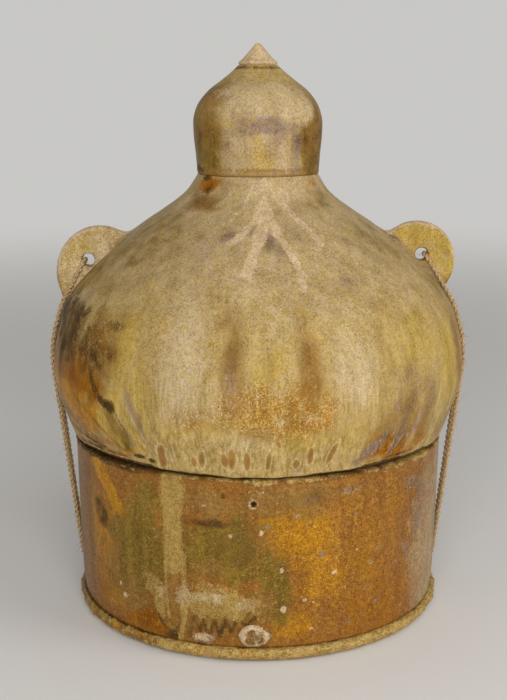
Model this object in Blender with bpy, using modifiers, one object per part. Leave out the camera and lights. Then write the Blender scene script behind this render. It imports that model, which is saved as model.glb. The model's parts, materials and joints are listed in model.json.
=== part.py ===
"""A wood-fired stoneware urn: a low drum on a slab foot, and an onion-shaped lid tied down with jute twine.

Metres, +Z up. The origin is the centre of the foot's underside, and the front of the urn faces -Y.
An azimuth is measured from the front towards +X.
"""

import bmesh
import bpy
from math import asin, cos, pi, radians, sin, sqrt
from mathutils import Matrix, Vector

# Clay walls and the joints between luted pieces
JOINT_GAP = 0.0003
LID_WALL = 0.0065
BASE_WALL = 0.007
EDGE_DROP = 0.0012
OVERRUN = 0.004
CROWN_SHARES = (0.32, 0.68)

# Drum of the base
RIM_RADIUS = 0.110
RIM_HEIGHT = 0.105
DRUM_TAPER = 0.003
DRUM_BOTTOM_RADIUS = RIM_RADIUS - DRUM_TAPER
RIM_WAVE = 0.0004
RIM_WAVE_DEPTH = 0.026
DRUM_OUTLINE_SHARES = ((0.0, 0.0), (0.10, 0.34), (0.28, 0.55), (0.62, 0.80), (1.0, 1.0))

# Foot slab
FOOT_OVERHANG = 0.003
FOOT_RADIUS = DRUM_BOTTOM_RADIUS + FOOT_OVERHANG
FOOT_THICKNESS = 0.0086
FOOT_EDGE_ROUND = 0.0028

# Pierced vent in the front of the drum, and the bare clay pad under it
VENT_RADIUS = 0.0011
VENT_DROP = 0.0132
VENT_AZIMUTH = radians(-1.3)
PAD_WIDTH = 0.0196
PAD_HEIGHT = 0.0142
PAD_THICKNESS = 0.0022
PAD_AZIMUTH = radians(-1.2)
PAD_FACE_SHARE = 0.62

# Lid: its dome, from the lip through the belly to the neck
LIP_STEP = 0.0009
LIP_RADIUS = RIM_RADIUS + LIP_STEP
BELLY_SWELL = 0.0109
BELLY_RADIUS = LIP_RADIUS + BELLY_SWELL
BELLY_RISE = 0.043
BELLY_HEIGHT = RIM_HEIGHT + BELLY_RISE
NECK_RADIUS = 0.0348
NECK_RISE = 0.1104
NECK_HEIGHT = BELLY_HEIGHT + NECK_RISE
LID_GAPE = 0.0024
LIP_FADE = 0.0085
LOWER_DOME_SHARES = ((0.0, 0.0), (0.15, 0.21), (0.36, 0.49), (0.58, 0.79), (0.80, 0.955), (1.0, 1.0))
UPPER_DOME_SHARES = (
    (0.11, 0.99),
    (0.22, 0.955),
    (0.32, 0.91),
    (0.42, 0.82),
    (0.52, 0.695),
    (0.62, 0.555),
    (0.72, 0.405),
    (0.81, 0.235),
    (0.90, 0.085),
    (1.0, 0.0),
)

# Locating ring luted inside the lid's lip, which drops into the drum
RING_CLEARANCE = 0.0014
RING_THICKNESS = 0.005
RING_DROP = 0.012
RING_SEAT_HEIGHT = 0.007
RING_BEVEL = 0.0012

# Hollow knob on the neck, and the small cone that tops it
KNOB_OVERHANG = 0.001
KNOB_FOOT_RADIUS = NECK_RADIUS + KNOB_OVERHANG
KNOB_RADIUS = 0.0376
KNOB_SHOULDER_RISE = 0.029
KNOB_HEIGHT = 0.0612
KNOB_TOP_RADIUS = 0.0112
KNOB_WALL = 0.0055
KNOB_LOWER_SHARES = ((0.0, 0.0), (0.35, 0.35), (0.7, 0.82), (1.0, 1.0))
KNOB_UPPER_SHARES = (
    (0.16, 0.965),
    (0.30, 0.90),
    (0.44, 0.785),
    (0.58, 0.625),
    (0.72, 0.40),
    (0.86, 0.185),
    (1.0, 0.0),
)
FINIAL_RADIUS = 0.0112
FINIAL_HEIGHT = 0.0118
FINIAL_TIP_ROUND = 0.0022
FINIAL_EDGE_ROUND = 0.0009

# Ears: two disc-shaped lugs of unlike size on the lid's shoulder
EAR_THICKNESS = 0.008
EAR_EDGE_ROUND = 0.0034
EAR_HOLE_RADIUS = 0.0038
EAR_HOLE_FLARE = 0.0004
EAR_HOLE_WEB = 0.0005
LEFT_EAR_RADIUS = 0.0263
LEFT_EAR_HALF_HEIGHT = 0.0279
LEFT_EAR_RISE_SHARE = 0.500
LEFT_EAR_STANDOFF = -0.0055
LEFT_HOLE_RISE_SHARE = 0.503
RIGHT_EAR_RADIUS = 0.0228
RIGHT_EAR_HALF_HEIGHT = 0.0232
RIGHT_EAR_RISE_SHARE = 0.530
RIGHT_EAR_STANDOFF = 0.0004
RIGHT_HOLE_RISE_SHARE = 0.534

# Ties: each pair of twine strands goes through a hole low in the drum, knotted outside and inside
TWINE_RADIUS = 0.0011
TIE_AZIMUTH = radians(97.5)
TIE_HEIGHT = 0.0135
TIE_CLEARANCE = 0.0008
KNOT_RADIUS = 0.0030
KNOT_LENGTH = 0.0036
STOPPER_RADIUS = 0.0042
STOPPER_LENGTH = 0.0062
KNOT_STANDOFF = 0.0005
KNOT_BEVEL = 0.0008

# Twine: one strand laid double on each side, up in front of the ear and down behind it
TWINE_LAY = 0.0006
TWINE_EAR_GAP = 0.0009
TWINE_BEND_RADIUS = 0.0045
TWINE_STEP = 0.0064

# Facets round each turned piece
LARGE_FACETS = 48
KNOB_FACETS = 36
SMALL_FACETS = 24
EAR_FACETS = 36
ARC_STEPS = 3
BEND_STEPS = 4


def clear_scene():
    for obj in list(bpy.data.objects):
        bpy.data.objects.remove(obj)


def collection(name):
    made = bpy.data.collections.new(name)
    bpy.context.scene.collection.children.link(made)
    return made


def clay(name, colour, roughness):
    """A Principled material for one part of the urn."""
    made = bpy.data.materials.new(name)
    made.use_nodes = True
    shader = made.node_tree.nodes["Principled BSDF"]
    shader.inputs["Base Color"].default_value = (*colour, 1.0)
    shader.inputs["Roughness"].default_value = roughness
    shader.inputs["Metallic"].default_value = 0.0
    return made


def smooth(points, steps):
    """Points along a Catmull-Rom curve through the given ones, with that many steps to each span."""
    ends = [2 * points[0] - points[1], *points, 2 * points[-1] - points[-2]]
    made = []
    for a, b, c, d in zip(ends, ends[1:], ends[2:], ends[3:]):
        square = 2 * a - 5 * b + 4 * c - d
        cube = 3 * b - a - 3 * c + d
        for step in range(steps):
            t = step / steps
            made.append((2 * b + (c - a) * t + square * t**2 + cube * t**3) / 2)
    return [*made, points[-1]]


def arc(centre, radius, start, end, steps=ARC_STEPS):
    """Points of an arc in a profile's (radius, height) plane, angles from the outward direction."""
    turns = [start + (end - start) * step / steps for step in range(steps + 1)]
    return [centre + radius * Vector((cos(turn), sin(turn))) for turn in turns]


def between(low, high, share):
    return low + (high - low) * share


def radius_at(outline, height):
    """The radius of an outline, listed from low to high, at a height."""
    for low, high in zip(outline, outline[1:]):
        if height <= high.y:
            return between(low.x, high.x, (height - low.y) / (high.y - low.y))
    return outline[-1].x


def inset(outline, wall):
    """The outline moved inwards, square to itself, by a wall's thickness."""
    moved = []
    for index, point in enumerate(outline):
        run = outline[min(index + 1, len(outline) - 1)] - outline[max(index - 1, 0)]
        run.normalize()
        moved.append(point + wall * Vector((-run.y, run.x)))
    return moved


def inner_face(outline, wall):
    """The inner side of a thrown wall, with fewer points than the outer side and with level ends."""
    inner = inset(outline, wall)
    ends = [point - Vector((wall, 0.0)) for point in (outline[0], outline[-1])]
    return [ends[0], *inner[2:-2:3], ends[1]]


def place(mesh, name, material, into, matrix=Matrix.Identity(4)):
    obj = bpy.data.objects.new(name, mesh)
    into.objects.link(obj)
    mesh.transform(matrix)
    mesh.materials.clear()
    if material:
        mesh.materials.append(material)
    mesh.shade_smooth()
    mesh.set_sharp_from_angle(angle=radians(40))
    return obj


def turned(name, profile, facets, material, into, ring=False):
    """A profile of (radius, height) points, listed down its outer side, swept round Z by a Screw modifier."""
    mesh = bpy.data.meshes.new(name)
    edges = [(index, index + 1) for index in range(len(profile) - 1)]
    if ring:
        edges.append((len(profile) - 1, 0))
    mesh.from_pydata([(point.x, 0.0, point.y) for point in profile], edges, [])
    obj = bpy.data.objects.new(name + "_profile", mesh)
    bpy.context.scene.collection.objects.link(obj)
    screw = obj.modifiers.new("sweep", "SCREW")
    screw.steps = facets
    screw.render_steps = facets
    screw.use_merge_vertices = True
    screw.merge_threshold = JOINT_GAP / 10
    made = evaluated_mesh(obj)
    return place(made, name, material, into)


def evaluated_mesh(obj):
    """The object's mesh with its modifiers applied, in the world's frame. The object is removed."""
    graph = bpy.context.evaluated_depsgraph_get()
    graph.update()
    mesh = bpy.data.meshes.new_from_object(obj.evaluated_get(graph))
    mesh.transform(obj.matrix_world)
    bpy.data.objects.remove(obj)
    return mesh


def cut(obj, cutter):
    modifier = obj.modifiers.new(cutter.name, "BOOLEAN")
    modifier.operation = "DIFFERENCE"
    modifier.object = cutter


def as_cutter(obj):
    obj.hide_render = True
    obj.display_type = "WIRE"
    return obj


def along(direction, centre):
    """A matrix that carries a piece turned round Z to that centre, with its axis in that direction."""
    turn = Vector(direction).to_track_quat("Z", "Y").to_matrix().to_4x4()
    return Matrix.Translation(centre) @ turn


def outward(azimuth):
    return Vector((sin(azimuth), -cos(azimuth), 0.0))


def azimuth_of(point):
    """The azimuth of a point, for which only even multiples of it matter."""
    reach = sqrt(point.x**2 + point.y**2)
    return asin(point.x / reach)


def rim_lift(azimuth):
    """The drum was cut from the lid along a wave: high in front and behind, low at the sides."""
    return RIM_WAVE * cos(2 * azimuth)


def lip_lift(azimuth):
    """The lid's lip follows the wave and gapes a little between its four seats."""
    return rim_lift(azimuth) + LID_GAPE * (1 - cos(4 * azimuth)) / 2


def wave_edge(obj, outline, edge, still, lift):
    """Moves an edge along its outline by lift(azimuth), fading to nothing at the height that stays still."""
    for vertex in obj.data.vertices:
        share = (vertex.co.z - still) / (edge - still)
        if share <= 0:
            continue
        height = vertex.co.z + min(share, 1.0) * lift(azimuth_of(vertex.co))
        widen = radius_at(outline, height) / radius_at(outline, vertex.co.z)
        vertex.co = Vector((vertex.co.x * widen, vertex.co.y * widen, height))


# Outlines that more than one piece follows, from low to high
DRUM_FLOOR = FOOT_THICKNESS + JOINT_GAP
LIP_HEIGHT = RIM_HEIGHT + JOINT_GAP
RING_SEAT = LIP_HEIGHT + LIP_FADE
PAIR_RADIUS = 2 * TWINE_RADIUS
TIE_HOLE_RADIUS = PAIR_RADIUS + TIE_CLEARANCE
EAR_LAY = EAR_THICKNESS / 2 + TWINE_RADIUS + TWINE_EAR_GAP
EAR_HOLE_REACH = EAR_HOLE_RADIUS + EAR_HOLE_FLARE + JOINT_GAP + EAR_HOLE_WEB


def drum_outline():
    top = RIM_HEIGHT - EDGE_DROP
    corners = [
        Vector((between(DRUM_BOTTOM_RADIUS, RIM_RADIUS, flare), between(DRUM_FLOOR, top, rise)))
        for rise, flare in DRUM_OUTLINE_SHARES
    ]
    return smooth(corners, 2)


def dome_outline():
    bottom = LIP_HEIGHT + EDGE_DROP
    lower = [
        Vector((between(LIP_RADIUS, BELLY_RADIUS, swell), between(bottom, BELLY_HEIGHT, rise)))
        for rise, swell in LOWER_DOME_SHARES
    ]
    upper = [
        Vector((between(NECK_RADIUS, BELLY_RADIUS, swell), between(BELLY_HEIGHT, NECK_HEIGHT, rise)))
        for rise, swell in UPPER_DOME_SHARES
    ]
    return smooth(lower + upper, 2)


def off_dome(rise_share, distance):
    """A (radius, height) point off the lid's shoulder, square to it, at a share of its rise."""
    outline = dome_outline()
    height = between(BELLY_HEIGHT, NECK_HEIGHT, rise_share)
    foot = Vector((radius_at(outline, height), height))
    above = next(point for point in outline if point.y > height)
    run = (above - foot).normalized()
    return foot + distance * Vector((run.y, -run.x))


def tie_reach():
    """How far from the axis the outer knots of the ties begin and the inner ones end."""
    outer = drum_outline()
    inner = inner_face(outer, BASE_WALL)
    ends = (TIE_HEIGHT - STOPPER_RADIUS, TIE_HEIGHT + STOPPER_RADIUS)
    knot_start = max(radius_at(outer, height) for height in ends) + KNOT_STANDOFF
    stopper_end = min(radius_at(inner, height) for height in ends) - KNOT_STANDOFF
    return knot_start, stopper_end


def knob_outline():
    foot = NECK_HEIGHT + JOINT_GAP
    shoulder = foot + KNOB_SHOULDER_RISE
    top = foot + KNOB_HEIGHT
    lower = [
        Vector((between(KNOB_FOOT_RADIUS, KNOB_RADIUS, swell), between(foot, shoulder, rise)))
        for rise, swell in KNOB_LOWER_SHARES
    ]
    upper = [
        Vector((between(KNOB_TOP_RADIUS, KNOB_RADIUS, swell), between(shoulder, top, rise)))
        for rise, swell in KNOB_UPPER_SHARES
    ]
    return smooth(lower + upper, 2)


def build_foot_slab(material, into):
    edge = FOOT_EDGE_ROUND
    profile = [
        Vector((0.0, FOOT_THICKNESS)),
        *arc(Vector((FOOT_RADIUS - edge, FOOT_THICKNESS - edge)), edge, pi / 2, 0),
        *arc(Vector((FOOT_RADIUS - edge, edge)), edge, 0, -pi / 2),
        Vector((0.0, 0.0)),
    ]
    return turned("foot_slab", profile, LARGE_FACETS, material, into)


def build_drum(material, into, cutters):
    """The thrown wall of the base, with its rounded and wavy rim, its vent and its two tie holes."""
    outer = drum_outline()
    crown = [Vector((RIM_RADIUS - BASE_WALL * share, RIM_HEIGHT)) for share in reversed(CROWN_SHARES)]
    profile = [*reversed(outer), *inner_face(outer, BASE_WALL), *crown]
    drum = turned("base_drum", profile, LARGE_FACETS, material, into, ring=True)
    side = [*outer, Vector((RIM_RADIUS, RIM_HEIGHT))]
    wave_edge(drum, side, RIM_HEIGHT, RIM_HEIGHT - RIM_WAVE_DEPTH, rim_lift)
    for side in (-1, 1):
        cut(drum, drill("tie_hole_cutter", side * TIE_AZIMUTH, TIE_HEIGHT, TIE_HOLE_RADIUS, cutters))
    cut(drum, drill("vent_cutter", VENT_AZIMUTH, RIM_HEIGHT - VENT_DROP, VENT_RADIUS, cutters))
    return drum


def drill(name, azimuth, height, radius, cutters):
    """A cylinder that pierces the drum's wall square to it."""
    mesh = bpy.data.meshes.new(name)
    shape = bmesh.new()
    bmesh.ops.create_cone(
        shape,
        cap_ends=True,
        segments=SMALL_FACETS // 2,
        radius1=radius,
        radius2=radius,
        depth=BASE_WALL + 2 * OVERRUN,
    )
    shape.to_mesh(mesh)
    shape.free()
    middle = radius_at(drum_outline(), height) - BASE_WALL / 2
    centre = middle * outward(azimuth) + Vector((0.0, 0.0, height))
    return as_cutter(place(mesh, name, None, cutters, along(outward(azimuth), centre)))


def build_pad(material, into, cutters):
    """A blank oval pad of clay pressed on low in front, hollowed at the back to fit the drum."""
    width = PAD_WIDTH / 2
    profile = [
        Vector((0.0, PAD_THICKNESS)),
        Vector((width * PAD_FACE_SHARE, PAD_THICKNESS)),
        *arc(Vector((width - PAD_THICKNESS, 0.0)), PAD_THICKNESS, pi / 3, 0),
        Vector((width, -OVERRUN)),
        Vector((0.0, -OVERRUN)),
    ]
    height = DRUM_FLOOR + PAD_HEIGHT / 2
    reach = radius_at(drum_outline(), height)
    pad = turned("clay_pad", profile, SMALL_FACETS, material, into)
    pad.data.transform(Matrix.Diagonal((1.0, PAD_HEIGHT / PAD_WIDTH, 1.0, 1.0)))
    pad.data.transform(along(outward(PAD_AZIMUTH), reach * outward(PAD_AZIMUTH) + Vector((0.0, 0.0, height))))
    core = [point + Vector((JOINT_GAP, 0.0)) for point in drum_outline()]
    cut(pad, solid_of("drum_core_cutter", core, cutters))
    return pad


def solid_of(name, outline, cutters):
    """A cutter: everything inside an outline."""
    low, high = outline[0].y, outline[-1].y
    profile = [Vector((0.0, high)), *reversed(outline), Vector((0.0, low))]
    return as_cutter(turned(name, profile, LARGE_FACETS, None, cutters))


def build_dome(material, into):
    outer = dome_outline()
    lip = [Vector((LIP_RADIUS - LID_WALL * share, LIP_HEIGHT)) for share in CROWN_SHARES]
    profile = [*reversed(outer), *lip, *inner_face(outer, LID_WALL)]
    dome = turned("lid_dome", profile, LARGE_FACETS, material, into, ring=True)
    wave_edge(dome, [Vector((LIP_RADIUS, LIP_HEIGHT)), *outer], LIP_HEIGHT, RING_SEAT, lip_lift)
    return dome


def build_ring(material, into):
    """The lid's locating ring: a collar inside the drum, flared at its top to reach the dome's inner face."""
    inner_wall = inner_face(dome_outline(), LID_WALL)
    outer = RIM_RADIUS - BASE_WALL - RING_CLEARANCE
    inner = outer - RING_THICKNESS
    seat_top = RING_SEAT + RING_SEAT_HEIGHT
    foot = RIM_HEIGHT - RING_DROP
    profile = [
        Vector((radius_at(inner_wall, seat_top) - JOINT_GAP, seat_top)),
        Vector((radius_at(inner_wall, RING_SEAT) - JOINT_GAP, RING_SEAT)),
        Vector((outer, RING_SEAT - RING_BEVEL)),
        Vector((outer, foot + RING_BEVEL)),
        Vector((outer - RING_BEVEL, foot)),
        Vector((inner + RING_BEVEL, foot)),
        Vector((inner, foot + RING_BEVEL)),
        Vector((inner, RING_SEAT)),
    ]
    return turned("locating_ring", profile, LARGE_FACETS, material, into, ring=True)


def build_knob(material, into):
    """A hollow bulb, open below and closed on top, where its wall is as thick as at its sides."""
    outer = knob_outline()
    inner = inner_face(outer, KNOB_WALL)
    top = outer[-1].y
    ceiling = top - KNOB_WALL
    inside = [point for point in inner if point.y < ceiling]
    profile = [Vector((0.0, top)), *reversed(outer), *inside, Vector((0.0, ceiling))]
    return turned("knob", profile, KNOB_FACETS, material, into)


def build_finial(material, into):
    foot = NECK_HEIGHT + KNOB_HEIGHT + 2 * JOINT_GAP
    tip = foot + FINIAL_HEIGHT
    slope = pi / 2 - asin(FINIAL_RADIUS / sqrt(FINIAL_RADIUS**2 + FINIAL_HEIGHT**2))
    profile = [
        *arc(Vector((0.0, tip - FINIAL_TIP_ROUND)), FINIAL_TIP_ROUND, pi / 2, pi / 2 - slope),
        Vector((FINIAL_RADIUS, foot + FINIAL_EDGE_ROUND)),
        Vector((FINIAL_RADIUS - FINIAL_EDGE_ROUND, foot)),
        Vector((0.0, foot)),
    ]
    return turned("finial", profile, SMALL_FACETS, material, into)


def build_ear(name, side, sizes, material, into, cutters):
    """A round-edged disc that stands out from the lid's shoulder, pierced for the twine."""
    radius, half_height, rise_share, standoff, hole_rise_share = sizes
    centre = off_dome(rise_share, standoff)
    hole_centre = off_dome(hole_rise_share, EAR_HOLE_REACH)
    half = EAR_THICKNESS / 2
    edge = EAR_EDGE_ROUND
    profile = [
        Vector((0.0, half)),
        *arc(Vector((radius - edge, half - edge)), edge, pi / 2, 0),
        *arc(Vector((radius - edge, edge - half)), edge, 0, -pi / 2),
        Vector((0.0, -half)),
    ]
    ear = turned(name, profile, EAR_FACETS, material, into)
    ear.data.transform(Matrix.Diagonal((1.0, half_height / radius, 1.0, 1.0)))
    upright = Matrix.Rotation(pi / 2, 4, "X")
    ear.data.transform(Matrix.Translation((side * centre.x, 0.0, centre.y)) @ upright)
    flare = EAR_HOLE_RADIUS + EAR_HOLE_FLARE
    throat = half - EAR_HOLE_FLARE
    hole = [
        Vector((0.0, half + OVERRUN)),
        Vector((flare + OVERRUN, half + OVERRUN)),
        Vector((EAR_HOLE_RADIUS, throat)),
        Vector((EAR_HOLE_RADIUS, -throat)),
        Vector((flare + OVERRUN, -half - OVERRUN)),
        Vector((0.0, -half - OVERRUN)),
    ]
    hole_cutter = as_cutter(turned(name + "_hole_cutter", hole, SMALL_FACETS, None, cutters))
    hole_cutter.data.transform(Matrix.Translation((side * hole_centre.x, 0.0, hole_centre.y)) @ upright)
    cut(ear, hole_cutter)
    core = inset(dome_outline(), -JOINT_GAP)
    cut(ear, solid_of(name + "_dome_cutter", core, cutters))
    return ear


def build_tie(name, side, material, into):
    """The tied-off end of the twine: a knot outside the drum, the pair in the hole, a knot inside."""
    outer_knot, stopper_end = tie_reach()
    shank = PAIR_RADIUS - JOINT_GAP
    profile = [
        Vector((0.0, outer_knot + KNOT_LENGTH)),
        Vector((KNOT_RADIUS - KNOT_BEVEL, outer_knot + KNOT_LENGTH)),
        Vector((KNOT_RADIUS, outer_knot + KNOT_LENGTH - KNOT_BEVEL)),
        Vector((KNOT_RADIUS, outer_knot + KNOT_BEVEL)),
        Vector((shank, outer_knot)),
        Vector((shank, stopper_end)),
        Vector((STOPPER_RADIUS, stopper_end - KNOT_BEVEL)),
        Vector((STOPPER_RADIUS, stopper_end - STOPPER_LENGTH + KNOT_BEVEL)),
        Vector((STOPPER_RADIUS - KNOT_BEVEL, stopper_end - STOPPER_LENGTH)),
        Vector((0.0, stopper_end - STOPPER_LENGTH)),
    ]
    tie = turned(name, profile, SMALL_FACETS // 2, material, into)
    tie.data.transform(along(outward(side * TIE_AZIMUTH), Vector((0.0, 0.0, TIE_HEIGHT))))
    return tie


def taut(points):
    """The points that a taut strand touches, of (radius, height) points listed from low to high."""
    touched = []
    for point in points:
        while len(touched) > 1 and (touched[-1] - touched[-2]).cross(point - touched[-1]) <= 0:
            touched.pop()
        touched.append(point)
    return touched


def twine_side(side, pull, seat):
    """Half of a strand: from its tie up over the belly, then curving into the ear's hole from one face."""
    reach = tie_reach()[0] + KNOT_LENGTH
    across = side * Vector((cos(side * TIE_AZIMUTH), sin(side * TIE_AZIMUTH), 0.0))
    start = reach * outward(side * TIE_AZIMUTH) + pull * (TWINE_RADIUS + JOINT_GAP) * across
    start.z = TIE_HEIGHT + KNOT_RADIUS + KNOT_STANDOFF
    over = [point for point in inset(dome_outline(), -TWINE_RADIUS - TWINE_LAY) if point.y < seat.y]
    touched = taut([Vector((abs(start.x), start.z)), *over, seat])
    down = (touched[-2] - seat).normalized()
    half = []
    for point in touched[:-1]:
        share = min((point.y - start.z) / (BELLY_HEIGHT - start.z), 1.0)
        half.append(Vector((side * point.x, between(start.y, pull * EAR_LAY, share), point.y)))
    centre = Vector((EAR_LAY - TWINE_BEND_RADIUS, TWINE_BEND_RADIUS))
    for bend in arc(centre, TWINE_BEND_RADIUS, 0, -pi / 2, BEND_STEPS):
        level = seat + bend.y * down
        half.append(Vector((side * level.x, pull * bend.x, level.y)))
    return half


def twine_route(side, hole_rise_share):
    """One strand laid double: up from the tie, through the ear's hole from front to back, and down again."""
    pull = EAR_HOLE_RADIUS - TWINE_RADIUS - TWINE_LAY
    seat = off_dome(hole_rise_share, EAR_HOLE_REACH) + Vector((pull, 0.0))
    return [*twine_side(side, -1, seat), *reversed(twine_side(side, 1, seat))]


def build_twine(name, route, material, into):
    """A tube along a route, whose straight runs are laid in short steps."""
    path = []
    for start, end in zip(route, route[1:]):
        steps = max(1, round((end - start).length / TWINE_STEP))
        path += [start.lerp(end, step / steps) for step in range(steps)]
    path.append(route[-1])
    data = bpy.data.curves.new(name, "CURVE")
    data.dimensions = "3D"
    data.bevel_depth = TWINE_RADIUS
    data.bevel_resolution = 2
    data.use_fill_caps = True
    spline = data.splines.new("POLY")
    spline.points.add(len(path) - 1)
    for point, place_at in zip(spline.points, path):
        point.co = (*place_at, 1.0)
    data.materials.append(material)
    obj = bpy.data.objects.new(name, data)
    into.objects.link(obj)
    return obj


def main():
    clear_scene()
    urn = collection("lidded_urn")
    cutters = collection("cutters")
    ash = clay("ash_glaze", (0.42, 0.33, 0.14), 0.45)
    amber = clay("amber_glaze", (0.40, 0.19, 0.04), 0.32)
    crust = clay("ash_crust", (0.26, 0.22, 0.09), 0.70)
    bare = clay("bare_clay", (0.30, 0.19, 0.12), 0.75)
    jute = clay("jute_twine", (0.45, 0.30, 0.14), 0.90)
    build_foot_slab(crust, urn)
    build_drum(amber, urn, cutters)
    build_pad(bare, urn, cutters)
    build_dome(ash, urn)
    build_ring(bare, urn)
    build_knob(ash, urn)
    build_finial(ash, urn)
    left = (
        LEFT_EAR_RADIUS,
        LEFT_EAR_HALF_HEIGHT,
        LEFT_EAR_RISE_SHARE,
        LEFT_EAR_STANDOFF,
        LEFT_HOLE_RISE_SHARE,
    )
    right = (
        RIGHT_EAR_RADIUS,
        RIGHT_EAR_HALF_HEIGHT,
        RIGHT_EAR_RISE_SHARE,
        RIGHT_EAR_STANDOFF,
        RIGHT_HOLE_RISE_SHARE,
    )
    build_ear("ear_left", -1, left, ash, urn, cutters)
    build_ear("ear_right", 1, right, ash, urn, cutters)
    build_tie("tie_left", -1, jute, urn)
    build_tie("tie_right", 1, jute, urn)
    build_twine("twine_left", twine_route(-1, LEFT_HOLE_RISE_SHARE), jute, urn)
    build_twine("twine_right", twine_route(1, RIGHT_HOLE_RISE_SHARE), jute, urn)


main()
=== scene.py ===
"""The lidded urn as photographed: wood-fired stoneware under ash glaze, its lid tied down with jute twine.

Each piece is made here in fine mesh, from the outlines of the solids. Lengths are in metres, except in the
tables of patches and runs, which are in degrees and millimetres. An azimuth is measured from the front,
which looks to -Y, towards +X. Widths and heights of patches are measured along the surface.
"""

import bmesh
import bpy
import json
import numpy as np
from math import cos, pi, radians, sin
from mathutils import Matrix, Vector

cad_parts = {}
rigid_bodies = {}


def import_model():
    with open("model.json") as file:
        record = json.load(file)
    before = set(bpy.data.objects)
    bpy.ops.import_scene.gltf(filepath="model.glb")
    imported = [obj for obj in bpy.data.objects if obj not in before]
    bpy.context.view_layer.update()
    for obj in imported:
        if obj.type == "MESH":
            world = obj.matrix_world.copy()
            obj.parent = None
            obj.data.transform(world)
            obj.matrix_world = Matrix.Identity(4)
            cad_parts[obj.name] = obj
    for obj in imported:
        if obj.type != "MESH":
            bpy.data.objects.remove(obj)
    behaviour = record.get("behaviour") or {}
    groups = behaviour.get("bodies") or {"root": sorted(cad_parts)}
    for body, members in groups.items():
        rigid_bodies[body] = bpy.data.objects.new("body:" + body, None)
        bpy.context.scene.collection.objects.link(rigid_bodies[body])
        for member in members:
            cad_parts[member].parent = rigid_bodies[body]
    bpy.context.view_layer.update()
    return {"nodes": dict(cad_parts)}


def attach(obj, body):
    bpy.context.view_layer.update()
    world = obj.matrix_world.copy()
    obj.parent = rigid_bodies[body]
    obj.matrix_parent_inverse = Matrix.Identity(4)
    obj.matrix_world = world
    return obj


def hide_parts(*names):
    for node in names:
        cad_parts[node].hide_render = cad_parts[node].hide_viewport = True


MM = 0.001

# Camera, as in the photograph
CAMERA_AT = (-0.0026, -0.720, 0.306)
CAMERA_PITCH = radians(12.1)
CAMERA_LENS = 62.49
CAMERA_SENSOR = 36.0

# Studio: place, size and power of a soft box in front and one on each side, and a pale floor
KEY_LIGHT = ((0.05, -1.50, 0.70), 1.1, 18.4)
LEFT_LIGHT = ((-1.5, -0.9, 0.6), 0.9, 0.8)
RIGHT_LIGHT = ((1.5, -0.7, 0.7), 0.9, 9.6)
LIGHT_TARGET = (0.0, 0.0, 0.15)
WORLD_COLOUR = (1.0, 0.97, 0.93)
WORLD_STRENGTH = 0.31
FLOOR_COLOUR = (0.80, 0.79, 0.77)
FLOOR_SIZE = 30.0
FLOOR_FADE = (0.5, 2.2)
BACKDROP_COLOUR = (0.58, 0.575, 0.56)

# Clay walls, joints and twine, as in the solids
JOINT_GAP = 0.0003
LID_WALL = 0.0065
BASE_WALL = 0.007
EDGE_DROP = 0.0012
RIM_RADIUS = 0.110
RIM_HEIGHT = 0.105
DRUM_BOTTOM_RADIUS = 0.107
RIM_WAVE = 0.0004
RIM_WAVE_DEPTH = 0.026
DRUM_OUTLINE_SHARES = ((0, 0), (0.1, 0.34), (0.28, 0.55), (0.62, 0.8), (1, 1))
FOOT_RADIUS = 0.110
FOOT_THICKNESS = 0.0086
FOOT_EDGE_ROUND = 0.0028
VENT_RADIUS = 0.0011
VENT_DROP = 0.0132
VENT_AZIMUTH = radians(-1.3)
PAD_WIDTH = 0.0196
PAD_HEIGHT = 0.0142
PAD_THICKNESS = 0.0022
PAD_AZIMUTH = radians(-1.2)
LIP_RADIUS = 0.1109
BELLY_RADIUS = 0.1218
BELLY_HEIGHT = 0.148
NECK_RADIUS = 0.0348
NECK_HEIGHT = 0.2584
LID_GAPE = 0.0024
LIP_RIPPLE = 0.0004
LIP_FADE = 0.0085
LOWER_DOME_SHARES = ((0, 0), (0.15, 0.21), (0.36, 0.49), (0.58, 0.79), (0.8, 0.955), (1, 1))
UPPER_DOME_SHARES = (
    (0.11, 0.99), (0.22, 0.955), (0.32, 0.91), (0.42, 0.82), (0.52, 0.695), (0.62, 0.555), (0.72, 0.405),
    (0.81, 0.235), (0.9, 0.085), (1, 0),
)
RING_CLEARANCE = 0.0014
RING_THICKNESS = 0.005
RING_DROP = 0.012
RING_SEAT_HEIGHT = 0.007
RING_BEVEL = 0.0012
KNOB_FOOT_RADIUS = 0.0358
KNOB_RADIUS = 0.0376
KNOB_SHOULDER_RISE = 0.029
KNOB_HEIGHT = 0.0612
KNOB_TOP_RADIUS = 0.0112
KNOB_WALL = 0.0055
KNOB_LOWER_SHARES = ((0, 0), (0.35, 0.35), (0.7, 0.82), (1, 1))
KNOB_UPPER_SHARES = (
    (0.16, 0.965), (0.3, 0.9), (0.44, 0.785), (0.58, 0.625), (0.72, 0.4), (0.86, 0.185), (1, 0),
)
FINIAL_RADIUS = 0.0112
FINIAL_HEIGHT = 0.0118
FINIAL_TIP_ROUND = 0.0028
EAR_THICKNESS = 0.008
EAR_EDGE_ROUND = 0.0034
EAR_HOLE_RADIUS = 0.0038
EAR_HOLE_REACH = 0.005
LEFT_EAR = {
    "side": -1,
    "radius": 0.0263,
    "half_height": 0.0279,
    "rise": 0.500,
    "standoff": -0.0055,
    "hole": 0.503,
    "bloom": 0.55,
    "hairs": 240,
}
RIGHT_EAR = {
    "side": 1,
    "radius": 0.0228,
    "half_height": 0.0232,
    "rise": 0.530,
    "standoff": 0.0004,
    "hole": 0.534,
    "bloom": 0.20,
    "hairs": 420,
}
TWINE_RADIUS = 0.0011
TIE_AZIMUTH = radians(97.5)
TIE_HEIGHT = 0.0135
TIE_HOLE_RADIUS = 0.003
KNOT_RADIUS = 0.0030
KNOT_LENGTH = 0.0036
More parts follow.
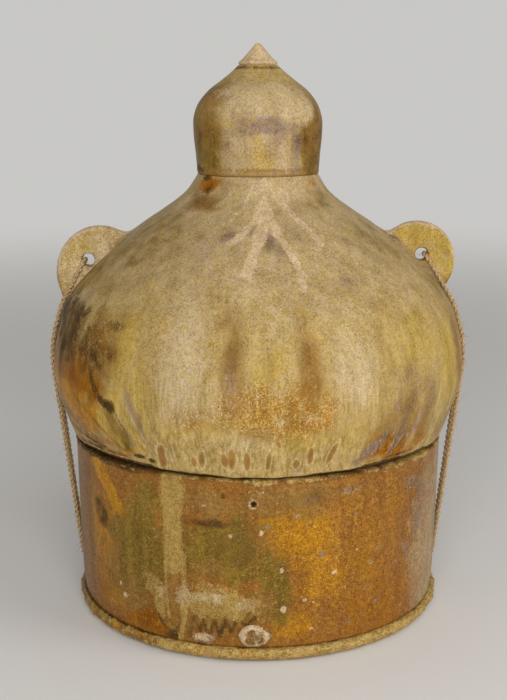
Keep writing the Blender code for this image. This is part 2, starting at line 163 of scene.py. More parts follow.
STOPPER_RADIUS = 0.0042
STOPPER_LENGTH = 0.0062
KNOT_STANDOFF = 0.0005
TWINE_LAY = 0.0006
TWINE_EAR_GAP = 0.0009
TWINE_BEND_RADIUS = 0.0045
BEND_STEPS = 4
OUTLINE_STEPS = 2

# Fineness of the meshes
FINE_STEPS = 12
DOME_COLUMNS = 640
DRUM_COLUMNS = 560
SLAB_COLUMNS = 512
KNOB_COLUMNS = 288
FINIAL_COLUMNS = 96
RING_COLUMNS = 192
EAR_COLUMNS = 200
OUTER_STEP = 0.0011
INNER_STEP = 0.005
FINIAL_STEP = 0.0005
EDGE_POINTS = 12
MERGE_REACH = JOINT_GAP / 1000
TINY = 1e-6
NOISE_CELLS = 32
DRILL_FACETS = 32
VENT_COLUMNS = 33
VENT_ZONE = radians(2.6)
VENT_RING_RADIUS = 0.0024
VENT_RING_WIDTH = 0.0006
VENT_RING_RISE = 0.0007
VENT_BOWL = 0.0004
LUTE_SINK = 0.0007
FOOT_UNDERCUT = 0.009
FOOT_UNDERCUT_RISE = 0.0057
EAR_ROWS = 34
EAR_RAY_STEP = 0.0002
EAR_ROOT = 0.002
EAR_LUTE = 0.007
EAR_HOLE_ROUND = 0.0008
EAR_FILLET = 0.0018
PAD_RINGS = 24
PAD_COLUMNS = 72
PAD_FILL = 0.95
TWINE_STEP = 0.0005
TWINE_EASE = 12
TWINE_PITCH = 0.0072
PLY_FACETS = 8
PLY_SHARE = 0.73
PLY_OFFSET_SHARE = 0.54
FUZZ_REACH = (0.0015, 0.0065)
FUZZ_STEPS = 6
FUZZ_RADIUS = 0.00009
FUZZ_FACETS = 3
KNOT_STRAND_SHARE = 0.82
KNOT_POINTS = 120
TAIL_COUNT = 2

# Relief of the fired surfaces: how far it rises, and how far apart its bumps are
SLAB_LUMPS = (0.00055, 0.007)
SLAB_GRAINS = (0.00060, 0.0024)
SLAB_BEAD = (0.00080, 0.0034)
DRUM_SWELL = (0.00030, 0.045)
DRUM_RINGS = (0.00006, 0.003)
DRUM_RIDGES = (0.00025, 0.0011)
RIM_CRUST = 0.00035
RIM_CRUST_LUMPS = 0.0004
DOME_SWELL = (0.00045, 0.055)
DOME_DENTS = (0.00010, 0.010)
DOME_RINGS = (0.00007, 0.0035)
DOME_RIDGES = (0.0003, 0.0012)
RIDGE_WAVER = (0.8, 0.03)
RING_RELIEF = (0.00015, 0.004)
KNOB_SWELL = (0.00030, 0.020)
KNOB_RINGS = (0.00005, 0.003)
KNOB_SKIRT = (0.0004, 0.006)
FINIAL_SKIRT = (0.00025, 0.004)
EAR_DENTS = (0.0004, 0.009)
PAD_LUMPS = (0.00022, 0.004)

# Depths under the outside at which the glaze is gone, and where it starts to go
DRUM_SKIN = (0.0058, 0.0040)
DOME_SKIN = (0.0035, 0.0020)
KNOB_SKIN = (0.0030, 0.0015)

# Seeds of the edges of the front's patches, the runs and the back's patches, and of the back's changes
DRUM_SEEDS = (31, 35, 33, 5)
DOME_SEEDS = (51, 53, 55, 8)
KNOB_SEEDS = (75, 76, 77, 12)

# Edges of patches and runs: how uneven, and how far apart the bumps are
PATCH_EDGE = (0.28, 0.011)
PATCH_EDGE_FINE = (0.20, 0.0045)
RUN_EDGE = (0.16, 0.006)

# Fading of patches and runs: share of the unevenness for patches, then where colour starts and is full
PATCH_FADE = (1.0, 1.55, 0.35)
SMALL_PATCH = 2.0
SMALL_PATCH_FADE = (0.5, 1.45, 0.55)
RUN_FADE = (1.5, 0.45)

# Patches of colour on the dome: azimuth, height, half width, half height, strength, and lean if any
DOME_PATCHES = {
    "glow": (
        (-57, 125, 18, 10, 0.95), (-62, 145, 34, 16, 1), (-56, 130, 30, 16, 0.85), (-52, 254, 7, 5, 1),
        (38, 119, 16, 11, 0.7, 20), (7, 143, 30, 13, 0.5), (80, 150, 16, 34, 0.6),
    ),
    # Pale patches of painted sheen on the shoulder, where the light falls.
    "haze": ((-65, 193, 20, 8, 0.8), (-20, 190, 14, 14, 0.5), (22, 196, 16, 12, 0.5)),
    "olive": (
        (-60, 224, 40, 26, 0.46), (-60, 201, 34, 14, 0.36), (-30, 246, 20, 8, 0.45), (45, 246, 18, 10, 0.5),
        (-50, 187, 13, 6, 0.6), (41, 158, 13, 12, 0.42), (-40, 130, 5, 14, 0.4, -26),
        (60, 224, 30, 20, 0.42), (-42, 167, 8, 9, 0.5), (-78, 196, 14, 22, 0.7), (80, 185, 20, 24, 0.5),
        (44, 182, 16, 10, 0.45), (44, 150, 16, 16, 0.42), (-36, 212, 20, 14, 0.22),
    ),
    "yellow": (
        (3, 167, 10, 12, 0.5), (45, 172, 24, 20, 0.5), (66, 158, 24, 28, 0.8), (-37, 174, 8, 20, 0.75, 10),
        (-15, 130, 28, 12, 0.5), (-43, 125, 5, 14, 0.8, -30), (-39, 145, 5, 14, 0.6, -10),
        (10, 128, 22, 8, 0.5), (-31, 150, 6, 22, 0.5, -8), (25, 130, 14, 14, 0.4), (0, 140, 26, 10, 0.4),
    ),
    "amber": (
        (86, 150, 12, 30, 0.75), (-60, 159, 36, 15, 0.9), (-48, 152, 11, 14, 0.75), (-84, 145, 10, 24, 0.8),
        (-40, 118, 7, 8, 0.5, -20), (37, 118, 18, 11, 0.78, 20), (48, 122, 12, 12, 0.62),
        (-49, 252.5, 13, 6, 0.9), (56, 254, 6, 4, 0.45), (-78, 158, 14, 13, 0.85),
        (-50, 116, 14, 5, 0.5, -10),
    ),
    "brown": (
        (11, 189, 5, 12, 0.4), (-6.5, 166, 6.5, 26, 0.72), (13, 162, 7, 22, 0.75), (-5, 150, 9, 9, 0.35),
        (10, 146, 16, 11, 0.42), (-12, 140, 12, 8, 0.3), (-9, 192, 5, 12, 0.4, 4), (-46, 173, 18, 20, 0.75),
        (-66, 172, 32, 17, 0.9), (-42, 127, 5, 8, 0.55, -24), (-38, 186, 14, 6, 0.3),
        (-43, 160, 6, 12, 0.6), (-40, 244, 16, 9, 0.75), (34, 250, 6, 7, 0.45), (41, 135, 14, 16, 0.62),
        (34, 127, 13, 9, 0.6), (29, 134, 14, 8, 0.36), (16, 134, 8, 6, 0.3), (49, 133, 10, 14, 0.6),
        (72, 160, 11, 30, 0.7), (72, 122, 10, 13, 0.55), (-42, 157, 6, 10, 0.55), (0, 133, 16, 5, 0.42),
        (63, 115, 8, 6, 0.5), (-30, 178, 3, 16, 0.35, 12), (-39, 128, 5, 8, 0.5, -20),
        (-27, 252, 8, 7, 0.45), (-78, 120, 10, 12, 0.6),
    ),
    "violet": (
        (-72, 124, 12, 14, 0.42), (-54, 118, 16, 4, 0.36), (-7, 160, 4, 13, 0.42),
        (30, 117, 2.6, 8, 0.7, 32), (34, 123, 2.6, 10, 0.75, 30), (40, 120, 2.4, 11, 0.8, 26),
        (46, 126, 3, 10, 0.65, 16), (40, 131, 3, 9, 0.62, 22), (42, 152, 14, 15, 0.42),
        (50, 142, 9, 12, 0.36), (27, 111.5, 4, 2.6, 0.7, 30), (10.5, 112, 2.6, 3, 0.6),
        (-5, 231, 3, 3, 0.7), (4, 226, 4, 7, 0.7), (-13, 228, 6, 5, 0.6), (10, 219, 5, 8, 0.55),
        (-20, 222, 14, 8, 0.22), (18, 228, 4, 7, 0.5), (26, 205, 16, 7, 0.4),
    ),
    # The two long pale patches either side of the front, at azimuths -19 and 24.5, are partly painted
    # highlight.
    "pale": (
        (-19, 169, 15, 32, 0.85, 4), (-22, 196, 9, 10, 0.45), (24.5, 165, 14, 20, 0.85, -4),
        (6, 190, 9, 12, 0.5), (-3, 201, 17, 9, 0.5), (-4, 246, 20, 11, 0.8), (14, 250, 20, 11, 1),
        (-22, 249, 10, 9, 0.42), (-12, 152, 10, 12, 0.45), (-24, 118, 6, 5, 0.4), (-8, 127, 32, 7, 0.42),
        (5, 140, 4, 4, 0.5), (12, 141, 5, 3, 0.5), (30, 188, 10, 8, 0.4),
    ),
    # The dark patches at the far left edge, at azimuths -80 and -86, are partly painted shade on the side
    # turned from the light.
    "dark": (
        (-68, 176, 34, 17, 0.74), (-52, 171, 18, 17, 0.62), (-58, 180, 16, 12, 0.55),
        (-41.5, 140, 4.6, 3.6, 0.85), (-42, 183, 8, 4, 0.5), (-34.5, 113.4, 4, 1.6, 1),
        (-30, 112, 2.4, 1.3, 0.9), (-66, 116, 12, 2.5, 0.6), (-54, 256.5, 5, 2, 0.9),
        (-44, 250, 3, 3, 0.55), (-80, 174, 16, 18, 0.8), (-86, 165, 12, 24, 0.75),
    ),
    "curdle": (
        (5, 144, 36, 16, 1), (-18, 139, 12, 9, 0.6), (2, 160, 20, 10, 0.3), (-48, 178, 10, 10, 1),
        (45, 160, 16, 16, 0.5),
    ),
    "drop": (
        (-26.6, 116, 3, 7.6, 0.9, 8), (-15, 117, 2.4, 6, 0.85), (-17.4, 115, 1.5, 3.6, 0.8),
        (-9, 116.6, 2.4, 6, 0.8, -6), (-7, 117.6, 2, 7, 0.85, 4), (-3, 116.5, 1.9, 6.4, 0.9),
        (2.6, 117, 1.7, 6.4, 0.8, 6), (13.6, 119, 1.7, 6, 0.9), (19.4, 119, 2.1, 8, 0.9, 16),
        (5, 127, 1.2, 2.8, 0.8, -20), (10, 115, 2.4, 3.4, 0.9),
    ),
}

# Runs of colour down the dome and the drum: layer, points of azimuth and height, half width in mm, strength
DOME_RUNS = (
    ("dark", ((-49, 161), (-47.5, 152), (-45.5, 145), (-43, 141)), 2.1, 0.62),
    ("dark", ((-39.5, 139), (-38, 132), (-36.4, 125)), 0.8, 0.5),
    ("yellow", ((-37, 141), (-35, 131), (-32.5, 117)), 2.2, 0.75),
    ("olive", ((-42, 138), (-40, 129), (-37, 119)), 4.4, 0.56),
    ("violet", ((-34.5, 148), (-33, 141), (-31.6, 133)), 2.4, 0.5),
    ("violet", ((-31.6, 133), (-30.4, 125), (-28.6, 116)), 0.9, 0.5),
    ("violet", ((-74, 139), (-62, 128), (-53, 119), (-44, 112)), 1.5, 0.46),
    ("violet", ((-66, 141), (-57, 132), (-48, 122), (-41, 114)), 1.2, 0.42),
    ("violet", ((-72, 128), (-60, 118), (-50, 112)), 1.6, 0.46),
    ("dark", ((-76, 121), (-66, 117.5), (-56, 114.8), (-48, 113.4)), 1, 0.7),
    ("dark", ((-70, 131), (-60, 123), (-51, 117)), 0.8, 0.55),
    ("brown", ((-76, 132), (-66, 124), (-56, 117), (-47, 113)), 1.6, 0.75),
    ("brown", ((-58, 141), (-51, 133), (-44, 121), (-40, 115)), 1.2, 0.7),
    ("blush", ((-62, 126), (-55, 119), (-50, 115)), 0.5, 0.5),
    ("glow", ((-46, 118), (-40, 116), (-36, 115.5)), 1.6, 0.8),
    ("blush", ((4, 246), (2, 232), (-1, 222), (-4.2, 211)), 3.4, 0.9),
    ("blush", ((6, 244), (8.5, 230), (13, 220), (14.6, 211), (14, 204)), 2.6, 0.85),
    ("blush", ((15, 246), (21, 238), (25.5, 229), (27, 224)), 2.2, 0.75),
    ("blush", ((1, 240), (-6, 231), (-11.5, 225)), 2.4, 0.7),
    ("blush", ((-4, 250), (-12, 240), (-17, 234)), 2.4, 0.6),
    ("blush", ((6, 252), (18, 249)), 7, 0.45),
)
DRUM_RUNS = (
    ("glow", ((-58, 104), (-53, 95), (-48.5, 87), (-46, 80)), 4.8, 0.95),
    ("glow", ((-48, 86), (-44.5, 78), (-43, 72), (-39, 68)), 3, 0.9),
    ("glow", ((-47, 80), (-47.4, 72)), 1.2, 0.8),
    ("tan", ((-24.8, 104), (-24.8, 85)), 6.6, 1),
    ("tan", ((-24.8, 85), (-24.8, 66), (-24.9, 54)), 5.6, 1),
    ("brown", ((-25, 70), (-24.7, 34), (-24.2, 14)), 4.4, 0.5),
    ("tan", ((-27.6, 54), (-27.5, 36), (-26.8, 22)), 1, 1),
    ("tan", ((-21.8, 60), (-21.7, 34), (-22, 22), (-23.4, 10)), 1.5, 1),
    ("brown", ((-29, 102), (-28.4, 60)), 0.6, 0.7),
    ("brown", ((-21, 102), (-21.2, 62)), 0.6, 0.7),
    ("brown", (
        (-33, 44), (-31, 30), (-28.6, 20), (-25, 16), (-21.4, 27), (-20, 17), (-18.4, 29), (-17, 20),
        (-15.8, 28), (-14.6, 16), (-13, 28), (-11.2, 19), (-9.4, 28), (-8, 21), (-6, 30), (-3.4, 27),
        (-1.4, 33), (1, 31), (3, 38),
    ), 2.6, 0.85),
    ("dark", (
        (-30.4, 23), (-28.2, 15), (-25.6, 13), (-21.8, 23), (-20.4, 12), (-18.8, 25), (-17, 16), (-16, 24),
        (-14.5, 12), (-12.8, 24), (-11.2, 15), (-9.4, 25), (-7.8, 18), (-6, 26), (-3.2, 22), (-1, 27),
    ), 1.1, 0.62),
)

# Patches of colour on the drum of the base
DRUM_PATCHES = {
    # Pale patches of painted sheen on the right of the drum: a soft reflection on its glaze.
    "haze": ((76, 50, 14, 64, 1), (64, 42, 24, 60, 0.58)),
    # The broad glow patches on the front and right, at azimuths 12 to 46, are partly painted highlight on
    # the drum's swell.
    "glow": (
        (12, 76, 20, 18, 0.66), (17, 50, 20, 26, 0.5), (26, 55, 36, 44, 0.36), (46, 60, 26, 44, 0.15),
        (-54, 97, 9, 7, 0.5), (-41, 66, 3, 5, 0.6, -15), (-57, 62, 9, 18, 0.85), (-51, 58, 7, 20, 0.85),
        (-37, 44, 7, 6, 0.6), (-50, 24, 18, 7, 0.6, -14), (10, 22, 14, 8, 0.6), (38, 88, 26, 14, 0.3),
        (-55, 40, 10, 26, 0.5), (4, 80, 10, 6, 0.6),
    ),
    "amber": (
        (-34, 17, 17, 7, 1, -8), (-17, 18, 8, 4, 0.8), (40, 22, 34, 22, 0.45), (36, 60, 26, 30, 0.2),
        (-60, 22, 14, 10, 0.6),
    ),
    "olive": (
        (-37, 62, 20, 30, 1), (-42, 42, 19, 22, 0.6), (-34, 88, 11, 13, 0.75), (-15, 69, 16, 13, 1),
        (-7, 63, 17, 20, 1), (4, 50, 9, 19, 0.85, -24), (4, 37, 11, 14, 0.9), (-18, 57, 9, 9, 0.7),
        (11, 92, 9, 4, 0.7), (-48, 62, 6, 5, 0.9), (-28, 28, 8, 10, 0.6), (2, 88, 9, 5, 0.5),
        (52, 88, 10, 4, 0.5, 24), (-31, 52, 9, 14, 0.8), (-2, 78, 14, 5, 0.6),
    ),
    # The long brown patch at the far left edge, at azimuth -78, is painted reflection: a dark mauve-brown
    # sheen down the edge.
    "brown": (
        (-15, 91, 13, 9, 0.9), (-14, 55, 10, 5, 0.75), (-18, 47, 7, 6, 0.5), (0, 35, 9, 9, 0.75),
        (-1, 27, 10, 4, 0.75), (8, 95, 26, 9, 0.85), (34, 95, 18, 8, 0.3), (13, 88, 15, 8, 0.6),
        (-33, 84, 5, 5, 0.5), (-40, 30, 9, 12, 0.6), (60, 92, 16, 10, 0.5), (-62, 60, 10, 40, 0.5),
        (28, 98, 14, 3, 0.4), (-78, 52, 14, 56, 0.9), (-50, 50, 8, 14, 0.5),
    ),
    # The long violet patches at the far left and right edges, at azimuths -80 and 79, are painted reflection
    # down the drum's edges.
    "violet": (
        (-80, 52, 14, 56, 0.5), (53, 89, 11, 4.5, 0.5, 24), (57, 69, 6, 14, 0.45, 12),
        (79, 50, 16, 62, 0.6), (50, 52, 5, 7, 0.42), (10.5, 84, 1.4, 1.4, 1), (14, 77.5, 1, 1, 0.9),
        (18, 61.5, 1.4, 1.3, 1), (28.7, 82, 1, 1, 1), (37.5, 60, 1.3, 1.3, 0.9), (45, 47, 1.1, 1.1, 0.9),
        (27.3, 19.2, 1.2, 1.2, 1), (37, 27, 1.3, 1.3, 0.9), (35, 52, 1.1, 1.1, 0.8),
        (2.6, 79, 1.3, 1.3, 0.8), (33, 37, 1, 1, 0.8), (26, 96, 9, 2.2, 0.25), (14, 93, 5, 2, 0.35),
        (9, 49.5, 1.2, 1.2, 0.7), (-16.4, 13, 8, 4.4, 0.7), (60, 78, 12, 18, 0.4, 20),
    ),
    "tan": (
        (-31.5, 38, 6, 6, 0.95, -15), (-30, 30, 4, 9, 0.8, -14), (-16, 34, 13, 9, 0.95),
        (-13, 42, 16, 5, 0.62), (-8, 34, 11, 8, 0.9, 10), (-3, 34, 9, 6, 0.6), (-34, 44, 4, 3, 0.5),
        (-22, 27, 3, 7, 0.8),
    ),
    "dark": (
        (13, 93, 20, 6, 0.22), (-15, 80, 14, 2.8, 0.72), (-9.7, 96, 1.7, 1.9, 1),
        (-54, 71, 7.5, 8, 0.75, -25), (-26.5, 11.5, 5, 2, 0.7), (-37, 70, 9, 9, 0.15),
        (-36, 60, 10, 10, 0.12), (-6, 66, 12, 10, 0.35),
    ),
    # The long pale patch at the far right edge, at azimuth 80, is painted reflection.
    "blush": (
        (80, 50, 12, 60, 0.3), (-16.4, 13.5, 6.4, 3.6, 0.65), (-45.5, 33.5, 1, 1.4, 1),
        (-43.4, 27.5, 1.9, 1.4, 1), (0.8, 75.5, 1.3, 1.7, 0.9), (7.2, 31.4, 1.8, 1.8, 1),
        (6.6, 54, 1.2, 1.2, 0.9), (22.3, 50.2, 1.4, 1.1, 0.9), (-7.8, 73.6, 1.1, 1.1, 0.9),
        (13.2, 36, 1.1, 1.3, 0.9), (16, 34.5, 1, 1, 0.9), (29.6, 60.8, 0.9, 0.9, 0.8),
        (34.6, 88, 1, 1, 0.8), (15.6, 18.8, 1.1, 1, 0.9), (-16, 90, 3, 2, 0.5), (0, 98.5, 7, 1, 0.32),
        (-31, 72, 1.2, 1.2, 0.5), (-12, 38, 3, 3, 0.5),
    ),
    "pale": ((-30, 37, 5, 5, 0.5, -15), (-22, 37, 6, 8, 0.6), (-14, 37, 12, 4, 0.55), (-4, 34, 8, 4, 0.5)),
    "curdle": ((-3, 66, 26, 20, 0.36), (-40, 70, 20, 26, 0.3), (0, 33, 10, 10, 0.5)),
}

# Patches of colour on the knob
KNOB_PATCHES = {
    # Pale patches of painted sheen on the front of the knob, where the light falls.
    "haze": ((10, 300, 44, 14, 1), (10, 272, 30, 26, 0.9)),
    # The dark patches on the knob's flanks, near azimuth 62 either side, are partly painted shade where the
    # knob turns from the light.
    "dark": (
        # The thin band at height 318.6 is painted shade in the crease at the finial's foot.
        (62, 276, 14, 22, 0.42), (-62, 274, 10, 16, 0.2), (0, 318.6, 60, 0.9, 0.6), (-70, 262, 9, 3, 0.5),
    ),
    # The olive patches on the flanks, beyond azimuth 60 either side, are partly painted shade.
    "olive": (
        (-66, 274, 22, 24, 0.9), (-80, 285, 18, 28, 0.95), (64, 276, 20, 26, 1), (82, 285, 16, 30, 1),
        (-40, 270, 8, 12, 0.42),
    ),
    "yellow": ((4, 268, 9, 10, 0.5), (-4, 280, 6, 5, 0.45), (45, 282, 8, 12, 0.15)),
    # The brown patches on the flanks, at azimuths 60, 78 and -70, are partly painted shade.
    "brown": (
        (-56, 301, 18, 11, 0.8), (-52, 286, 12, 18, 0.6), (60, 278, 14, 22, 0.8), (-70, 290, 10, 14, 0.5),
        (0, 261.5, 60, 1.6, 0.6), (78, 300, 10, 10, 0.5), (-12, 289, 3, 2, 0.4),
    ),
    "violet": (
        (6, 287, 15, 5, 0.75), (-14, 283, 10, 3.6, 0.6), (30, 285, 7, 5, 0.6), (37, 270, 3, 12, 0.72),
        (-28, 270, 4, 11, 0.5), (13, 274, 5, 7, 0.42), (-30, 303, 8, 5, 0.4),
    ),
    "pale": ((6, 302, 26, 10, 0.85), (40, 296, 13, 9, 0.8), (-20, 268, 5, 8, 0.42), (24, 266, 6, 7, 0.45)),
    "amber": ((-58, 300, 14, 8, 0.36), (-52, 268, 6, 6, 0.3)),
    "curdle": ((0, 270, 30, 10, 0.4),),
}

# Layers of fired colour, first to last, some of them also laid as painted sheen and painted shade: name,
# light tone, dark tone, raggedness, softness, roughness
GLAZE_LAYERS = (
    ("haze", (0.49, 0.365, 0.200), (0.33, 0.238, 0.120), 0.60, 0.20, 0.50),
    ("glow", (0.53, 0.255, 0.012), (0.31, 0.128, 0.005), 0.60, 0.20, 0.26),
    ("amber", (0.37, 0.145, 0.003), (0.15, 0.042, 0.001), 0.95, 0.15, 0.24),
    ("olive", (0.26, 0.165, 0.024), (0.105, 0.062, 0.008), 0.95, 0.14, 0.30),
    ("yellow", (0.50, 0.345, 0.080), (0.34, 0.225, 0.045), 0.70, 0.15, 0.40),
    ("brown", (0.30, 0.168, 0.040), (0.165, 0.082, 0.016), 0.60, 0.25, 0.38),
    ("violet", (0.31, 0.215, 0.145), (0.165, 0.106, 0.064), 1.15, 0.16, 0.42),
    ("dark", (0.105, 0.053, 0.010), (0.026, 0.014, 0.004), 1.25, 0.20, 0.50),
    ("tan", (0.43, 0.285, 0.082), (0.225, 0.138, 0.030), 0.55, 0.04, 0.40),
    ("pale", (0.51, 0.390, 0.215), (0.38, 0.280, 0.135), 0.60, 0.25, 0.46),
    ("blush", (0.62, 0.470, 0.290), (0.44, 0.310, 0.170), 0.80, 0.05, 0.50),
    ("crust", (0.54, 0.370, 0.115), (0.20, 0.118, 0.030), 0.60, 0.0, 0.62),
    ("bare", (0.36, 0.235, 0.145), (0.24, 0.150, 0.090), 0.30, 0.0, 0.85),
)

# Tones of the ground under the layers, and of the small marks in it
ASH_LIGHT = (0.47, 0.337, 0.135)
ASH_DARK = (0.31, 0.210, 0.068)
AMBER_LIGHT = (0.33, 0.145, 0.027)
AMBER_DARK = (0.19, 0.077, 0.014)
THREADS = ((0.48, 0.64, (1.16, 1.15, 1.22)), (0.47, 0.34, (0.80, 0.77, 0.62)))
GRAIN_TINTS = ((1.05, 1.09, 1.62), (1.18, 1.12, 0.58), (0.68, 0.60, 0.52))
CURDLE_COLOUR = (0.26, 0.110, 0.010)
CURDLE_RIM = (0.60, 0.46, 0.22)
DROP_COLOUR = (0.17, 0.082, 0.022)
SPECK_COLOUR = (0.13, 0.048, 0.022)
JUTE_LIGHT = (0.62, 0.44, 0.225)
JUTE_DARK = (0.25, 0.158, 0.066)
JUTE_WARM = (0.36, 0.21, 0.080)

# Grounds of the fired clay: light and dark tone, roughness, shine, and how much it is brushed in streaks
GROUNDS = {
    "ash_glaze": (ASH_LIGHT, ASH_DARK, 0.42, 0.04, 0.4),
    "amber_glaze": (AMBER_LIGHT, AMBER_DARK, 0.26, 0.09, 0.26),
    "ash_crust": (ASH_LIGHT, ASH_DARK, 0.75, 0.12, 0.2),
    "bare_clay": (ASH_LIGHT, ASH_DARK, 0.85, 0.12, 0.2),
}

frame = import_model()
for node in frame["nodes"].values():
    node.data.materials.clear()


def between(low, high, share):
    return low + (high - low) * share


def outward(azimuth):
    return Vector((sin(azimuth), -cos(azimuth), 0.0))


def smooth(points, steps):
    """Points along a Catmull-Rom curve through the given ones, with that many steps to each span."""
    ends = [2 * points[0] - points[1], *points, 2 * points[-1] - points[-2]]
    made = []
    for a, b, c, d in zip(ends, ends[1:], ends[2:], ends[3:]):
        square = 2 * a - 5 * b + 4 * c - d
        cube = 3 * b - a - 3 * c + d
        for step in range(steps):
            t = step / steps
            made.append((2 * b + (c - a) * t + square * t**2 + cube * t**3) / 2)
    return [*made, points[-1]]


def swept(shares, low, high, base, top):
    """Outline points from shares of a rise and of a swell."""
    return [Vector((between(low, high, swell), between(base, top, rise))) for rise, swell in shares]


def drum_outline(steps):
    floor = FOOT_THICKNESS + JOINT_GAP
    corners = swept(DRUM_OUTLINE_SHARES, DRUM_BOTTOM_RADIUS, RIM_RADIUS, floor, RIM_HEIGHT - EDGE_DROP)
    return smooth(corners, steps)


def dome_outline(steps):
    bottom = RIM_HEIGHT + JOINT_GAP + EDGE_DROP
    lower = swept(LOWER_DOME_SHARES, LIP_RADIUS, BELLY_RADIUS, bottom, BELLY_HEIGHT)
    upper = swept(UPPER_DOME_SHARES, NECK_RADIUS, BELLY_RADIUS, BELLY_HEIGHT, NECK_HEIGHT)
    return smooth(lower + upper, steps)


def knob_outline(steps):
    foot = NECK_HEIGHT + JOINT_GAP
    shoulder = foot + KNOB_SHOULDER_RISE
    lower = swept(KNOB_LOWER_SHARES, KNOB_FOOT_RADIUS, KNOB_RADIUS, foot, shoulder)
    upper = swept(KNOB_UPPER_SHARES, KNOB_TOP_RADIUS, KNOB_RADIUS, shoulder, foot + KNOB_HEIGHT)
    return smooth(lower + upper, steps)


def radius_at(outline, height):
    for low, high in zip(outline, outline[1:]):
        if height <= high.y:
            return between(low.x, high.x, (height - low.y) / (high.y - low.y))
    return outline[-1].x


def inset(outline, wall):
    """The outline moved inwards, square to itself, by a wall's thickness."""
    moved = []
    for index, point in enumerate(outline):
        run = outline[min(index + 1, len(outline) - 1)] - outline[max(index - 1, 0)]
        run.normalize()
        moved.append(point + wall * Vector((-run.y, run.x)))
    return moved


def off_dome(rise_share, distance):
    """A (radius, height) point off the lid's shoulder, square to it, at a share of its rise."""
    outline = dome_outline(OUTLINE_STEPS)
    height = between(BELLY_HEIGHT, NECK_HEIGHT, rise_share)
    foot = Vector((radius_at(outline, height), height))
    above = next(point for point in outline if point.y > height)
    run = (above - foot).normalized()
    return foot + distance * Vector((run.y, -run.x))


# The camera, then the cords


def placed(name, data):
    obj = bpy.data.objects.new(name, data)
    bpy.context.scene.collection.objects.link(obj)
    return obj


def build_camera():
    data = bpy.data.cameras.new("camera")
    data.sensor_fit = "VERTICAL"
    data.sensor_height = CAMERA_SENSOR
    data.lens = CAMERA_LENS
    camera = placed("camera", data)
    camera.location = CAMERA_AT
    camera.rotation_euler = (pi / 2 - CAMERA_PITCH, 0.0, 0.0)
    bpy.context.scene.camera = camera


def tie_reach():
    """How far from the axis the outer knots of the ties begin and the inner ones end."""
    outer = drum_outline(OUTLINE_STEPS)
    ends = [radius_at(outer, TIE_HEIGHT + gap) for gap in (-STOPPER_RADIUS, STOPPER_RADIUS)]
    return max(ends) + KNOT_STANDOFF, min(ends) - BASE_WALL - KNOT_STANDOFF


def taut(points):
    """The points that a taut strand touches, of (radius, height) points listed from low to high."""
    touched = []
    for point in points:
        while len(touched) > 1 and (touched[-1] - touched[-2]).cross(point - touched[-1]) <= 0:
            touched.pop()
        touched.append(point)
    return touched


def twine_side(side, pull, seat):
    """Half of a strand: from its tie up over the belly, then curving into the ear's hole from one face."""
    ear_lay = EAR_THICKNESS / 2 + TWINE_RADIUS + TWINE_EAR_GAP
    reach = tie_reach()[0] + KNOT_LENGTH
    across = side * Vector((cos(side * TIE_AZIMUTH), sin(side * TIE_AZIMUTH), 0.0))
    start = reach * outward(side * TIE_AZIMUTH) + pull * (TWINE_RADIUS + JOINT_GAP) * across
    start.z = TIE_HEIGHT + KNOT_RADIUS + KNOT_STANDOFF
    clear = inset(dome_outline(OUTLINE_STEPS), -TWINE_RADIUS - TWINE_LAY)
    touched = taut([Vector((abs(start.x), start.z)), *[point for point in clear if point.y < seat.y], seat])
    down = (touched[-2] - seat).normalized()
    half = []
    for point in touched[:-1]:
        share = min((point.y - start.z) / (BELLY_HEIGHT - start.z), 1.0)
        half.append(Vector((side * point.x, between(start.y, pull * ear_lay, share), point.y)))
    for step in range(BEND_STEPS + 1):
        turn = pi / 2 * step / BEND_STEPS
        level = seat + TWINE_BEND_RADIUS * (1 - sin(turn)) * down
        lay = ear_lay - TWINE_BEND_RADIUS * (1 - cos(turn))
        half.append(Vector((side * level.x, pull * lay, level.y)))
    return half


def twine_route(ear):
    """One strand laid double: up from the tie, through the ear's hole from front to back, and down again."""
    pull = EAR_HOLE_RADIUS - TWINE_RADIUS - TWINE_LAY
    seat = off_dome(ear["hole"], EAR_HOLE_REACH) + Vector((pull, 0.0))
    return [*twine_side(ear["side"], -1, seat), *reversed(twine_side(ear["side"], 1, seat))]


# Mesh tools


def noise_field(points, spacing, seed):
    """Smooth noise from -1 to 1 at each point, whose bumps are about that far apart."""
    lattice = np.random.default_rng(seed).uniform(-1.0, 1.0, (NOISE_CELLS, NOISE_CELLS, NOISE_CELLS))
    spot = points / spacing
    cell = np.floor(spot).astype(int)
    share = spot - cell
    share = share * share * (3 - 2 * share)
    total = np.zeros(len(points))
    for corner in np.ndindex(2, 2, 2):
        weight = np.prod(np.where(corner, share, 1 - share), axis=1)
        x, y, z = ((cell + corner) % NOISE_CELLS).T
        total += weight * lattice[x, y, z]
    return total


def rough_noise(points, spacing, seed, octaves=3):
    """Noise of several sizes, each half as wide and half as strong as the one before."""
    return sum(noise_field(points, spacing / 2**step, seed + step) / 2**step for step in range(octaves))


def bumps(points, relief, seed):
    """Smooth relief, from its rise and the spacing of its bumps."""
    rise, spacing = relief
    return rise * noise_field(points, spacing, seed)


def thrown(points, relief, seed, flat=0.2):
    """Relief drawn out round the axis, like the throwing rings on a pot."""
    return bumps(points * (flat, flat, 1.0), relief, seed)


def ridges(points, relief, seed):
    """The wavering ridges that a potter's fingers leave inside, from their rise and pitch."""
    rise, pitch = relief
    return rise * np.sin(points[:, 2] / pitch + bumps(points, RIDGE_WAVER, seed))


def smoothstep(low, high, value):
    share = np.clip((value - low) / (high - low), 0.0, 1.0)
    return share * share * (3 - 2 * share)


def band(value, start, full, ending, end):
    """From 0 at its start to 1 where it is full, and back to 0 at its end."""
    return smoothstep(start, full, value) * smoothstep(end, ending, value)


def bell(value, middle, width):
    return np.exp(-(((value - middle) / width) ** 2))


